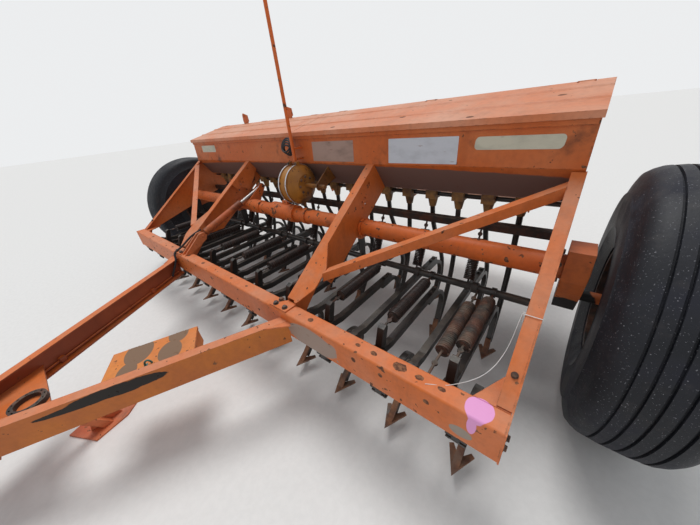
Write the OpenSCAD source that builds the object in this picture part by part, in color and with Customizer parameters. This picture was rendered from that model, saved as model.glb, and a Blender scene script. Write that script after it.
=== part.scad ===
// Trailed combine seed drill: tined sowing frame, full-width seed and fertiliser hopper, A-frame drawbar.
// Front, where the drawbar is, faces -Y. +Z is up.
// The origin is on the ground under the middle of the machine.

/* [Frame] */
// Overall width over the side frames
frame_w = 3860; // [3500:10:4200]
// Height of the front beam's top above the ground
beam_top = 600; // [560:10:660]
// Height of the front beam
beam_h = 170; // [140:5:190]
// Depth of the front beam, front to back
beam_d = 90; // [70:5:110]
// Wall of the front beam
beam_wall = 6; // [4:1:8]
// Thickness of the frame plates
plate_t = 6; // [5:1:8]
// Width of the sloping side flanges
flange_w = 55; // [45:1:65]
// Slope of the side frames and hopper supports, degrees
frame_slope = 35.4; // [33:0.2:37]
// Depth of the hopper support channels
support_d = 220; // [180:5:225]
// Distance between the outer faces of the two hopper supports
support_pitch = 1608; // [1500:4:1640]

/* [Drawbar] */
// Length from the beam's front face to the hitch eye
drawbar_len = 1540; // [1400:10:1700]
// Depth of the drawbar channels
arm_h = 158; // [130:2:170]
// Width of the drawbar channel flanges
arm_w = 56; // [48:1:64]
// Drop of the drawbar from the beam to the hitch
arm_drop = 50; // [20:5:70]
// Diameter of the hitch pin hole
hitch_bore = 32; // [25:1:40]

/* [Hopper] */
// Width of the hopper over its ends
hopper_w = 3848; // [3400:10:4180]
// Depth of the hopper, front to back
hopper_d = 936; // [880:4:960]
// Height of the hopper's front wall above its folded edge
hopper_wall_h = 232; // [200:4:260]
// Rise of the lids from the front edge to the ridge
lid_rise = 108; // [80:4:140]
// Thickness of the hopper and lid sheets
sheet_t = 3; // [2:0.5:4]
// Height of the folded front edge above the ground
break_z = 1224; // [1200:4:1260]

/* [Rows] */
// Number of sown rows
rows = 20; // [16:2:20]
// Row spacing
row_pitch = 178; // [150:1:180]
// Number of tines in the front cultivating rank
front_tines_n = 11; // [9:2:11]
// Clearance of the tine points above the ground
point_clear = 66; // [40:2:90]

/* [Wheels and lift] */
// Outer diameter of the tyres
tyre_d = 1250; // [1200:10:1300]
// Width of the tyres
tyre_w = 370; // [320:5:400]
// Distance between the two tyre centres
track = 4540; // [4500:10:4700]
// Diameter of the rim
rim_d = 510; // [480:5:560]
// Diameter of the rockshaft
rock_d = 114; // [100:1:120]
// Wall of the rockshaft
rock_wall = 8; // [6:1:10]
// Diameter of the wheel axles
axle_d = 55; // [45:1:65]

/* [Hidden] */
$fn = 48;

// Small gap between pieces that move against each other
gap = 0.3;
orange = [0.80, 0.36, 0.19];
dark_iron = [0.13, 0.12, 0.12];
rust = [0.36, 0.22, 0.16];
rubber = [0.09, 0.09, 0.10];
brass = [0.52, 0.40, 0.20];
half_w = frame_w / 2;
web_x = half_w - plate_t;
beam_bottom = beam_top - beam_h;
slope = tan(frame_slope);

// Front and rear ends of the machine, measured from the beam's rear face
hitch_eye_y = -beam_d - drawbar_len;
hitch_r = 60;
front_end = hitch_eye_y - hitch_r;

// Hopper section, measured from the beam's rear face
hopper_front = 862;
hopper_rear = hopper_front + hopper_d;
ridge_y = hopper_front + hopper_d / 2;
trough_z = break_z - 180;
trough_w = 110;
trough_in = 123;
trough_1 = hopper_front + trough_in + trough_w / 2;
trough_2 = hopper_rear - trough_in - trough_w / 2;
wall_top = break_z + hopper_wall_h;
board_w = 210;
board_z = 745;
board_t = 40;
board_y = hopper_rear + 50;
rear_end = board_y + board_w;

// Shift that puts the origin under the middle of the machine's length
y_shift = -(front_end + rear_end) / 2;

// Rockshaft, wheel axle and lift lever
rock_y = 680;
rock_z = 836;
// Running clearance of the rockshaft in its bearings
rock_clear = 0.3;
axle_y = 830;
axle_z = tyre_d / 2;
crank_w = 90;
crank_x = half_w + 18;
tyre_x = track / 2;
lever_x = -620;
lever_t = 16;
lever_pin_y = 850;
lever_pin_z = 985;
ram_base_y = 128;
ram_base_z = 712;
pin_d = 22;
// Clearance of the ram rod's eye round the lever pin, for the drift of the eye
eye_drift = 5.7;

// Spring bar under the rockshaft and rear toolbar
bar_y = 675;
bar_z = 600;
bar_r = 21;
rear_y = 990;
rear_z = 855;
rear_s = 50;

function row_x(i) = (i - (rows - 1) / 2) * row_pitch;

// A plate that lies across the machine: outline in (y, z), from x to x + t
module plate_x(x, t) {
    translate([x, 0, 0]) rotate([90, 0, 90]) linear_extrude(t) children();
}

// A round bar along X
module bar_x(x, len, y, z, r) {
    translate([x, y, z]) rotate([0, 90, 0]) cylinder(h = len, r = r);
}

// A round bar between two points
module rod(p, q, r) {
    d = q - p;
    len = norm(d);
    translate(p) rotate([0, acos(d[2] / len), atan2(d[1], d[0])]) cylinder(h = len, r = r);
}

// A rectangle with round corners, centred
module round_rect(w, h, r) {
    square([w - 2 * r, h], center = true);
    square([w, h - 2 * r], center = true);
    for (sx = [-1, 1], sz = [-1, 1]) translate([sx * (w / 2 - r), sz * (h / 2 - r)]) circle(r);
}

// A strip of sheet from p to q in a section, thickness t to its left
module strip(p, q, t) {
    u = (q - p) / norm(q - p);
    n = [-u[1], u[0]] * t;
    polygon([p, q, q + n, p + n]);
}

module square_tube(x, len, y, z, s, r, t) {
    plate_x(x, len) translate([y, z]) difference() {
        round_rect(s, s, r);
        round_rect(s - 2 * t, s - 2 * t, r - t / 2);
    }
}

module mirrored(side) {
    if (side < 0) mirror([1, 0, 0]) children();
    else children();
}

// Front beam: hollow section with rounded edges
module front_beam() {
    color(orange) plate_x(-web_x, 2 * web_x) translate([-beam_d / 2, beam_top - beam_h / 2]) difference() {
        round_rect(beam_d, beam_h, 12);
        round_rect(beam_d - 2 * beam_wall, beam_h - 2 * beam_wall, 7);
    }
}

// Drawbar arms: channels that open inwards
arm_inner = support_pitch / 2 - 3;
apex_in = 84;
arm_run = drawbar_len - apex_in;
arm_yaw = atan(arm_inner / (arm_run + beam_d));
arm_pitch = atan(arm_drop / arm_run);
arm_top = beam_top - 48;
arm_t = 8;
module arm_solid() {
    translate([arm_inner, 0, arm_top]) rotate([0, 0, -90 - arm_yaw]) rotate([0, arm_pitch, 0]) {
        translate([-200, arm_w - arm_t, -arm_h]) cube([arm_run + 900, arm_t, arm_h]);
        translate([-200, 0, -arm_t - 2]) cube([arm_run + 900, arm_w, arm_t + 2]);
        translate([-200, 0, -arm_h]) cube([arm_run + 900, arm_w, arm_t + 2]);
    }
}
module drawbar(side) {
    color(orange) mirrored(side) intersection() {
        arm_solid();
        translate([0, front_end - 10, 0]) cube([half_w, -beam_d - front_end + 10, beam_top]);
        translate([0, hitch_eye_y + hitch_r + 20, 0]) cube([half_w, drawbar_len, beam_top]);
    }
}

// Hitch: top and bottom plates on the joined arms, with the pin hole
hitch_top = arm_top - arm_drop;
hitch_t = 14;
hitch_back = 330;
hitch_pitch = atan(tan(arm_pitch) * cos(arm_yaw));
arm_cos = cos(arm_yaw);
// Height of the arms' top where the hitch plates end
hitch_z = arm_top - tan(arm_pitch) * ((arm_inner - 190) * sin(arm_yaw)
    - (hitch_eye_y + hitch_back) * arm_cos);
module hitch_plate(z) {
    translate([0, hitch_eye_y + hitch_back, z]) rotate([hitch_pitch, 0, 0])
        translate([0, -hitch_eye_y - hitch_back, 0])
        linear_extrude(hitch_t) {
            translate([0, hitch_eye_y]) circle(hitch_r);
            polygon([[-hitch_r, hitch_eye_y], [hitch_r, hitch_eye_y], [190, hitch_eye_y + hitch_back],
                     [-190, hitch_eye_y + hitch_back]]);
        }
}
module hitch() {
    color(orange) {
        difference() {
            union() {
                hitch_plate(hitch_z + 0.2);
                hitch_plate(hitch_z - arm_h - hitch_t - 3.4);
            }
            translate([0, hitch_eye_y, 200]) cylinder(h = 500, r = hitch_bore / 2);
        }
    }
}

// Cross plate inside the drawbar channels, which carries the folding stand
cross_back = -1085;
cross_d = 190;
cross_t = 10;
function arm_web_x(y) = arm_inner + y * tan(arm_yaw) + (arm_w - arm_t) / arm_cos - 0.2;
cross_z = arm_top - arm_h + 62 - tan(arm_pitch) * ((arm_inner - 190) * sin(arm_yaw)
    - (cross_back - cross_d) * arm_cos);
stand_y = cross_back - 110;
stand_z = cross_z - 60;
module drawbar_cross_plate() {
    color(orange) {
        translate([0, 0, cross_z]) linear_extrude(cross_t)
            polygon([[-arm_web_x(cross_back - cross_d), cross_back - cross_d],
                [arm_web_x(cross_back - cross_d), cross_back - cross_d],
                     [arm_web_x(cross_back), cross_back], [-arm_web_x(cross_back), cross_back]]);
        for (s = [-1, 1]) plate_x(s * 36 - 5, 10)
            polygon([[stand_y - 60, cross_z + 1], [stand_y + 60, cross_z + 1], [stand_y + 24, stand_z - 20],
                [stand_y - 24, stand_z - 20]]);
        bar_x(-46, 92, stand_y, stand_z, 10);
    }
}
// Slotted ring on the cross plate
ring_r = 74;
module slotted_ring() {
    color(dark_iron) translate([40, cross_back - 70, cross_z + cross_t + 0.1]) linear_extrude(26)
        difference() {
        circle(ring_r);
        circle(ring_r - 22);
        for (a = [0:30:330]) rotate(a) translate([ring_r - 14, -6]) square([7, 12]);
    }
}

// Side frames: tapered web, sloping flange and bearing eye
side_rise = hopper_front * slope;
module side_web() {
    difference() {
        union() {
            polygon([[-beam_d, beam_bottom], [0, beam_bottom], [60, beam_top - 40], [900, 793], [1240, 890],
                     [1240, trough_z + 86], [hopper_front + 20, beam_top + side_rise],
                     [hopper_front, beam_top + side_rise], [0, beam_top], [-beam_d, beam_top]]);
            translate([rock_y, rock_z]) circle(rock_d / 2 + 32);
        }
        translate([rock_y, rock_z]) circle(rock_d / 2 + rock_clear);
    }
}
module side_frame(side) {
    color(orange) mirrored(side) {
        plate_x(web_x, plate_t) side_web();
        plate_x(half_w - flange_w, flange_w - plate_t)
            strip([plate_t * slope, beam_top], [hopper_front, beam_top + side_rise], -plate_t);
    }
}

// Hopper supports: deep channels from the beam to the hopper's folded edge
sup_out = support_pitch / 2;
sup_w = 63;
sup_t = 8;
sup_z0 = beam_top + 30;
sup_slope = (break_z - sup_z0) / hopper_front;
sup_cos = cos(atan(sup_slope));
sup_v = support_d / sup_cos;
knee_y = 230;
knee_v = 120;
knee_low = 92;
knuckle_w = 92;
floor_dy = trough_in;
floor_dz = break_z - trough_z;
// Clearance between the supports and the hopper
sup_gap = 0.3;
// Where the channel's lower edge meets the hopper's sloping floor
sup_end_y = min(hopper_front + trough_in - 4,
                (hopper_front * floor_dz / floor_dy + break_z - sup_z0 + sup_v)
                / (sup_slope + floor_dz / floor_dy));
module support_web() {
    difference() {
        union() {
            polygon([[knee_y, sup_z0 + knee_y * sup_slope],
                     [hopper_front - sup_gap, break_z - sup_gap * sup_slope],
                     [sup_end_y - sup_gap, floor_front(sup_end_y)],
                     [sup_end_y - sup_gap, sup_z0 - sup_v - 1 + (sup_end_y - sup_gap) * sup_slope],
                     [knee_y + support_d * sup_slope * sup_cos * 0.6,
                      sup_z0 - sup_v + (knee_y + support_d * sup_slope * sup_cos * 0.6) * sup_slope],
                     [knee_y, sup_z0 - knee_v + knee_y * sup_slope]]);
            translate([rock_y, rock_z]) circle(rock_d / 2 + 30);
        }
        translate([rock_y, rock_z]) circle(rock_d / 2 + rock_clear);
        translate([hopper_front - 70, break_z - 110]) circle(11);
        for (i = [0:1], j = [0:1])
            translate([rock_y + 20 + i * 34, rock_z + 130 + j * 42 + i * 20]) circle(8);
    }
}
module support(side) {
    color(orange) mirrored(side) {
        plate_x(sup_out - sup_t, sup_t) difference() {
            union() {
                support_web();
                // lower knee on the beam
                polygon([[0, beam_top - knee_low], [0, sup_z0], [knee_y, sup_z0 + knee_y * sup_slope],
                         [knee_y, sup_z0 - knee_v + knee_y * sup_slope], [60, beam_top - knee_low]]);
            }
            // notch over the spring of the row below
            if (side < 0) polygon([[42, 400], [42, 636], [136, 648], [412, 648], [412, 400]]);
        }
        plate_x(sup_out - sup_w, sup_w - sup_t)
            strip([0, sup_z0], [hopper_front - sup_gap, break_z - sup_gap * sup_slope], -sup_t);
        translate([0, 0, sup_z0]) rotate([atan(sup_slope), 0, 0]) translate([0, 0, -sup_t])
            linear_extrude(sup_t)
            polygon([[sup_out - 1, -10], [sup_out + 20, -10], [sup_out + knuckle_w, 110],
                [sup_out + knuckle_w, 240],
                     [sup_out - 1, 400]]);
        plate_x(sup_out - sup_w, sup_t) difference() {
            polygon([[rock_y - 70, sup_z0 + (rock_y - 70) * sup_slope - 6],
                [hopper_front - sup_gap, break_z - 6],
                     [hopper_front + 60 - sup_gap, floor_front(hopper_front + 60)],
                         [rock_y + 60, rock_z + 60]]);
            translate([rock_y + 10, rock_z + 46]) circle(112);
            for (i = [0:1], j = [0:1]) translate([rock_y + 20 + i * 34, rock_z + 190 + j * 34 + i * 20])
                circle(8);
            translate([hopper_front - 40, break_z - 62]) circle(9);
        }
        plate_x(sup_out - sup_w, sup_t)
            polygon([[0, beam_top - knee_low], [0, sup_z0 - 6], [knee_y, sup_z0 + knee_y * sup_slope - 6],
                     [knee_y, sup_z0 - knee_v + knee_y * sup_slope], [60, beam_top - knee_low]]);
    }
}

// Diagonal braces: angle bars from the side frames down to the supports
brace_t = 5;
brace_leg = 50;
brace_hi = [half_w - flange_w, hopper_front - 55, beam_top + side_rise - 42];
brace_lo = [sup_out + knuckle_w, 190, sup_z0 + 190 * sup_slope - 2];
module brace(side) {
    d = brace_hi - brace_lo;
    color(orange) mirrored(side) intersection() {
        translate(brace_lo) rotate([0, 0, atan2(d[1], d[0])]) rotate([0, -asin(d[2] / norm(d)), 0]) {
            translate([-60, -brace_leg / 2, -brace_t]) cube([norm(d) + 120, brace_leg, brace_t]);
            translate([-60, -brace_leg / 2, -brace_leg])
                cube([norm(d) + 120, brace_t, brace_leg - brace_t + 0.01]);
        }
        translate([sup_out + knuckle_w, 0, 0]) cube([half_w - flange_w - sup_out - knuckle_w, 2000, 2000]);
    }
}

// X of the arm's outer edge at a place along the machine
function arm_out(y) = arm_inner + y * tan(arm_yaw) + arm_w / arm_cos + 0.3;

// Plates on the beam: saddles under the supports and gussets in the front corners
saddle_t = 8;
saddle_in = 664;
gusset_l = 105;
module beam_gussets() {
    color(orange) for (sx = [-1, 1]) {
        translate([0, 0, beam_top]) linear_extrude(saddle_t)
            polygon([[sx * saddle_in, -beam_d + 6], [sx * 812, -beam_d + 6], [sx * 815, -gap],
                [sx * (sup_out - sup_w), -gap]]);
        translate([0, 0, arm_top - 12]) linear_extrude(saddle_t)
            polygon([[sx * arm_out(-beam_d), -beam_d - gap], [sx * (arm_out(-beam_d) + 60), -beam_d - gap],
                     [sx * (arm_out(-beam_d - 120) + 1), -beam_d - 120]]);
        translate([0, 0, beam_top - 14]) linear_extrude(saddle_t)
            polygon([[sx * (web_x - 1), gap], [sx * (web_x - 1), gusset_l + 40],
                [sx * (web_x - flange_w), gusset_l + 40],
                     [sx * (web_x - gusset_l - 20), gap]]);
    }
}

// Toolbars across the machine
module spring_bar() {
    color(dark_iron) {
        bar_x(-web_x + 12, 2 * (web_x - 12), bar_y, bar_z, bar_r);
        for (i = [1:2:rows - 1]) bar_x(row_x(i) - 115, 34, bar_y, bar_z, bar_r + 10);
        for (i = [1:2:rows - 1]) bar_x(row_x(i) - 12, 24, bar_y, bar_z, bar_r + 7);
        for (x = [-web_x, -sup_out + sup_t, sup_out - sup_t - 12, web_x - 12]) plate_x(x, 12)
            polygon([[bar_y - 34, rock_z - 70], [bar_y - 26, bar_z - 14], [bar_y, bar_z - 32],
                [bar_y + 26, bar_z - 14],
                     [bar_y + 34, rock_z - 70]]);
    }
}
module rear_toolbar() {
    color(dark_iron) square_tube(-web_x, 2 * web_x, rear_y, rear_z, rear_s, 6, 5);
}

// Lids, measured in the hopper's section
lid_gap = 6;
lid_over = 12;
lid_tan = lid_rise / (hopper_d / 2 - 12);
lid_top = wall_top + lid_rise;
lid_lip = 26;

// Hopper section
hop_x = hopper_w / 2;
end_t = 6;
rail_h = 55;
rail_p = 14;
mid_peak_z = break_z + 30;
module hopper_shell() {
    strip([hopper_front, break_z], [hopper_front + 12, wall_top], -sheet_t);
    strip([hopper_front, break_z], [hopper_front + trough_in, trough_z], sheet_t);
    strip([hopper_front + trough_in - 2, trough_z], [hopper_front + trough_in + trough_w + 2, trough_z],
        sheet_t);
    strip([hopper_front + trough_in + trough_w, trough_z], [ridge_y, mid_peak_z], sheet_t);
    strip([ridge_y, mid_peak_z], [hopper_rear - trough_in - trough_w, trough_z], sheet_t);
    strip([hopper_rear - trough_in - trough_w - 2, trough_z], [hopper_rear - trough_in + 2, trough_z],
        sheet_t);
    strip([hopper_rear - trough_in, trough_z], [hopper_rear, break_z], sheet_t);
    strip([hopper_rear, break_z], [hopper_rear - 12, wall_top], sheet_t);
    // divider and ridge rail
    translate([ridge_y - sheet_t / 2, mid_peak_z - 4])
        square([sheet_t, wall_top + lid_rise - mid_peak_z - 13]);
    translate([ridge_y - 24, wall_top + lid_rise - 18]) square([48, sheet_t]);
    // folded top rails
    for (s = [-1, 1]) translate([ridge_y + s * (hopper_d / 2 - 5) - 7, wall_top - rail_h])
        square([rail_p, rail_h - 4]);
}
module hopper_body() {
    color(orange) difference() {
        plate_x(-hop_x + end_t, 2 * (hop_x - end_t)) hopper_shell();
        for (i = [0:rows - 1], y = [trough_1, trough_2]) translate([row_x(i) - 24, y - 30, trough_z - 1])
            cube([48, 60, sheet_t + 2]);
    }
}
module hopper_end(side) {
    color(orange) mirrored(side) plate_x(hop_x - end_t, end_t)
        polygon([[hopper_front, break_z], [hopper_front + trough_in, trough_z],
            [hopper_front + trough_in + trough_w, trough_z],
                 [ridge_y, mid_peak_z - 120], [hopper_rear - trough_in - trough_w, trough_z],
                 [hopper_rear - trough_in, trough_z], [hopper_rear, break_z], [hopper_rear - 12, wall_top],
                 [ridge_y, wall_top + lid_rise - 22], [hopper_front + 12, wall_top]]);
}

// Place of the front wall's outside at a height
function wall_front(z) = hopper_front + (z - break_z) * 12 / hopper_wall_h - 0.1;
// Height of the outside of the sloping floors, front and rear
function floor_front(y) = break_z - (y - hopper_front) * floor_dz / floor_dy - 0.2;
function floor_rear(y) = floor_front(hopper_front + hopper_rear - y);

// Metering cups under the troughs, one for each row
cup_h = 120;
module cups(y) {
    for (i = [0:rows - 1]) translate([row_x(i), y, trough_z - cup_h]) {
        difference() {
            union() {
                cylinder(h = 60, r1 = 22, r2 = 34);
                translate([-36, -44, 59]) cube([72, 88, cup_h - 59]);
            }
            cylinder(h = 62, r1 = 17, r2 = 29);
            translate([-33, -41, 61]) cube([66, 82, cup_h]);
        }
    }
}
module seed_cups() {
    color(brass) difference() {
        cups(trough_1);
        bar_x(-hop_x, 2 * hop_x, trough_1, trough_z - 34, 12.2);
    }
}
module fertiliser_cups() {
    color(brass) difference() {
        cups(trough_2);
        bar_x(-hop_x, 2 * hop_x, trough_2, trough_z - 34, 12.2);
    }
}
module meter_shafts() {
    color(dark_iron) for (y = [trough_1, trough_2])
        bar_x(-hop_x + end_t, 2 * (hop_x - end_t), y, trough_z - 34, 12);
}

// Sowing tines: pivot behind the beam, trailing arm with a horn for its spring, curved shank and point
piv_y = 70;
piv_z = 478;
arm_w2 = 36;
short_arm = 670;
long_arm = 1060;
horn_z = 130;
shank_r = 118;
shank_t = 26;
shank_b = 32;
shank_end = 24;
pin_r = 9;
function arm_end(i) = piv_y + (with_spring(i) ? short_arm : long_arm);
// Every second row has its spring over the arm, in front of the spring bar
function with_spring(i) = i % 2 == 1;

module tine_brackets() {
    color(dark_iron) for (i = [0:rows - 1]) {
        for (s = [-1, 1]) plate_x(row_x(i) + s * (arm_w2 / 2 + 6) - 4, 8) difference() {
            polygon([[0.2, beam_bottom + 6], [0.2, beam_bottom + 92], [24, beam_bottom + 92],
                [piv_y + 20, piv_z + 22],
                     [piv_y + 26, piv_z - 16], [piv_y + 6, beam_bottom + 6]]);
            translate([piv_y, piv_z]) circle(pin_r + 0.1);
        }
        plate_x(row_x(i) - arm_w2 / 2 - 2, arm_w2 + 4)
            strip([0.2, beam_bottom + 6], [30, beam_bottom + 6], 8);
    }
}

module sowing_arm(x, end, horn) {
    plate_x(x - arm_w2 / 2, arm_w2) difference() {
        union() {
            translate([piv_y, piv_z]) circle(25);
            polygon([[piv_y, piv_z - 20], [piv_y + 100, piv_z - 40], [end, piv_z - 40], [end, piv_z],
                [piv_y + 110, piv_z],
                     [piv_y, piv_z + 22]]);
            if (horn) polygon([[piv_y - 18, piv_z + 10], [piv_y + 22, piv_z + horn_z + 4],
                [piv_y + 46, piv_z + horn_z + 14],
                     [piv_y + 60, piv_z + horn_z + 2], [piv_y + 30, piv_z + 16]]);
        }
        translate([piv_y, piv_z]) circle(pin_r + 0.1);
    }
    bar_x(x - arm_w2 / 2 - 12, arm_w2 + 24, piv_y, piv_z, pin_r);
}
module sowing_arms() {
    color(dark_iron) for (i = [0:rows - 1]) sowing_arm(row_x(i), arm_end(i), with_spring(i));
}

// Shank: flat under the arm, curve, then a leg that leans forward to the point
curve_z = piv_z - 40.2 - shank_r - shank_t / 2;
leg_y = shank_r * cos(shank_end);
leg_z = -shank_r * sin(shank_end);
leg_len = (curve_z + leg_z - point_clear - 20) / cos(shank_end);
bend_steps = 14;
// Outline of a bent bar: a flat run, a curve of radius r and a leg that leans forward
module bent_shank(y, z, r, t, lean, leg, flat) {
    turn = [for (k = [0:bend_steps]) let (a = 90 - (90 + lean) * k / bend_steps) [cos(a), sin(a)]];
    last = turn[bend_steps];
    down = leg * [-sin(lean), -cos(lean)];
    translate([y, z]) polygon(concat(
        [[-flat, r + t / 2]], [for (u = turn) (r + t / 2) * u],
        [(r + t / 2) * last + down, (r - t / 2) * last + down],
        [for (k = [bend_steps:-1:0]) (r - t / 2) * turn[k]], [[-flat, r - t / 2]]));
}
module sowing_shanks() {
    color(dark_iron) for (i = [0:rows - 1]) plate_x(row_x(i) - shank_b / 2, shank_b)
        bent_shank(arm_end(i), curve_z, shank_r, shank_t, shank_end, leg_len, 120);
}

// Sowing points and duck-foot sweeps
function foot_y(i) = arm_end(i) + leg_y - leg_len * sin(shank_end);
module sweep(x, y, z, t, lean, w, len) {
    // the blade lies just under the shank's lower corner
    sink = t * sin(lean) + 1.4;
    stem = (sink + 7.9) / cos(lean);
    translate([x, y, z]) {
        rotate([-lean, 0, 0]) translate([-16, -12, -stem]) cube([32, 11.8, stem + 79]);
        translate([0, 0, -sink - 8]) linear_extrude(8)
            polygon([[0, -len * 0.62], [w / 2, len * 0.3], [w / 2 - 18, len * 0.38], [0, len * 0.02],
                     [-w / 2 + 18, len * 0.38], [-w / 2, len * 0.3]]);
    }
}
module sowing_points() {
    color(rust) for (i = [0:rows - 1])
        sweep(row_x(i), foot_y(i) - shank_t / 2 * cos(shank_end),
            point_clear + 20 + shank_t / 2 * sin(shank_end),
                  shank_t, shank_end, 110, 130);
}

// Front rank: curved shanks clamped under the beam
ft_t = 28;
ft_r = 92;
ft_y = 150;
ft_z = beam_bottom - 10.2 - ft_t / 2 - ft_r;
ft_foot_y = 46;
// Lean of the lower leg, so that it runs from the curve straight to the point
ft_dy = ft_y - ft_foot_y;
ft_dz = ft_z - point_clear - 20;
ft_lean = 90 - atan2(ft_dz, ft_dy) + asin(ft_r / norm([ft_dy, ft_dz]));
ft_leg = sqrt(ft_dy * ft_dy + ft_dz * ft_dz - ft_r * ft_r);
function front_x(i) = (i - (front_tines_n - 1) / 2) * 2 * row_pitch;
module front_tines() {
    color(dark_iron) for (i = [0:front_tines_n - 1]) {
        plate_x(front_x(i) - 16, 32) bent_shank(ft_y, ft_z, ft_r, ft_t, ft_lean, ft_leg, ft_y + beam_d - 8);
        translate([front_x(i) - 40, -beam_d + 4, beam_bottom - 11]) cube([80, beam_d - 8, 10.9]);
        translate([front_x(i) - 40, -beam_d + 12, beam_bottom - 10 - ft_t - 8]) cube([80, beam_d - 24, 8.6]);
        for (s = [-1, 1], y = [-beam_d + 24, -24])
            translate([front_x(i) + s * 28, y, beam_bottom - 10 - ft_t - 20]) cylinder(h = ft_t + 20, r = 7);
    }
}
module front_sweeps() {
    color(rust) for (i = [0:front_tines_n - 1])
        sweep(front_x(i), ft_foot_y - ft_t / 2 * cos(ft_lean), point_clear + 20 + ft_t / 2 * sin(ft_lean),
            ft_t, ft_lean, 120, 140);
}

// Tine springs: each a list of x, both hook points in (y, z) and the number of turns
spring_r = 35;
wire_r = 5.5;
coil = 2 * wire_r * 0.985;
springs = concat([for (i = [1:2:rows - 1]) [row_x(i), [piv_y + 68.3, bar_z + 4],
    [bar_y - bar_r - 9.3, bar_z], 35]],
                 [[row_x(rows - 1) - 74, [8.9, bar_z - 40], [bar_y - bar_r - 2.3, bar_z], 32]],
                 [for (i = [0:2:rows - 1]) [row_x(i), [bar_y + 118, piv_z + 18],
                     [rear_y - rear_s / 2 - 6.5, rear_z - 16], 24]]);
module spring_profile(turns) {
    half = turns * coil / 2;
    polygon(concat([for (k = [0:2 * turns]) [spring_r - (k % 2 == 0 ? wire_r : 0), k * coil / 2 - half]],
                   [[spring_r - 2 * wire_r, half], [spring_r - 2 * wire_r, -half]]));
}
// Puts its children at the middle of a spring, with +Z along it
module at_spring(s) {
    m = (s[1] + s[2]) / 2;
    d = s[2] - s[1];
    translate([s[0], m[0], m[1]]) rotate([atan2(d[1], d[0]) - 90, 0, 0]) children();
}
module tine_springs() {
    color(rust) for (s = springs) at_spring(s) rotate_extrude() spring_profile(s[3]);
}
module spring_hooks() {
    color(rust) for (s = springs) at_spring(s) {
        half = s[3] * coil / 2;
        reach = norm(s[2] - s[1]) / 2;
        for (e = [0, 1]) mirror([0, 0, e]) {
            translate([0, 0, half - 10]) cylinder(h = 7, r = spring_r - 2 * wire_r - 0.2);
            translate([0, 0, half - 4]) cylinder(h = reach - half + 4 + (e == 1 ? 8 : 2), r = 6);
            translate([0, 0, (half + reach) / 2]) rotate([90, 0, 0]) cylinder(h = 10, r = 13, center = true);
        }
    }
}

// Seed tubes from the cups down to the boots behind the shanks
tube_r = 17;
tube_rings = 12;
tube_sides = 10;
// Point on a cubic curve with the four control points c, and its direction
function curve_at(c, t) = pow(1 - t, 3) * c[0] + 3 * t * pow(1 - t,
    2) * c[1] + 3 * t * t * (1 - t) * c[2] + pow(t, 3) * c[3];
function curve_dir(c, t) = pow(1 - t,
    2) * (c[1] - c[0]) + 2 * t * (1 - t) * (c[2] - c[1]) + t * t * (c[3] - c[2]);
module seed_tube(x, c) {
    n = tube_sides;
    pts = [for (k = [0:tube_rings], j = [0:n - 1]) let (t = k / tube_rings, p = curve_at(c, t),
        d = curve_dir(c, t) / norm(curve_dir(c, t)),
           a = j * 360 / n) [x + tube_r * cos(a), p[0] - tube_r * sin(a) * d[1],
               p[1] + tube_r * sin(a) * d[0]]];
    faces = concat([[for (j = [0:n - 1]) j]], [[for (j = [n - 1:-1:0]) tube_rings * n + j]],
                   [for (k = [0:tube_rings - 1], j = [0:n - 1]) [k * n + j, (k + 1) * n + j,
                       (k + 1) * n + (j + 1) % n, k * n + (j + 1) % n]]);
    polyhedron(pts, faces, convexity = 4);
}
function boot_y(i) = foot_y(i) + shank_t / 2 + tube_r + 8;
module seed_tubes() {
    color(dark_iron) for (i = [0:rows - 1]) {
        by = boot_y(i);
        seed_tube(row_x(i), [[trough_1, trough_z - cup_h - gap], [trough_1, trough_z - cup_h - 300],
            [by + 260, 420], [by + 12, point_clear + 46]]);
    }
}

// Drive drum on the front of the hopper, with its cross shaft
drum_y = 762;
drum_z = 1068;
drum_r = 152;
drum_x = 20;
drum_w = 120;
module drive_drum() {
    color(brass) {
        difference() {
            bar_x(drum_x, drum_w, drum_y, drum_z, drum_r);
            bar_x(drum_x + 5, drum_w - 10, drum_y, drum_z, drum_r - 5);
        }
        for (x = [drum_x + 10, drum_x + drum_w - 24]) {
            bar_x(x, 14, drum_y, drum_z, drum_r + 7);
            for (s = [-1, 1]) translate([x - 6, drum_y - 13, drum_z + s * (drum_r + 12) - 16])
                cube([26, 26, 32]);
        }
        translate([drum_x + drum_w - 0.1, drum_y, drum_z]) rotate([0, 90, 0])
            cylinder(h = 52, r1 = drum_r - 2, r2 = 84);
        translate([drum_x + 0.1, drum_y, drum_z]) rotate([0, -90, 0])
            cylinder(h = 30, r1 = drum_r - 2, r2 = 70);
        bar_x(drum_x - 150, drum_w + 420, drum_y, drum_z, 15);
        bar_x(drum_x - 84, 54, drum_y, drum_z, 34);
        for (x = [drum_x - 110, drum_x + drum_w + 200]) plate_x(x, 8) {
            translate([drum_y, drum_z]) circle(34);
            polygon([[drum_y - 20, drum_z + 26], [hopper_front + 20, floor_front(hopper_front + 20)],
                     [hopper_front + 90, floor_front(hopper_front + 90)], [drum_y + 20, drum_z - 26]]);
        }
    }
}

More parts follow.
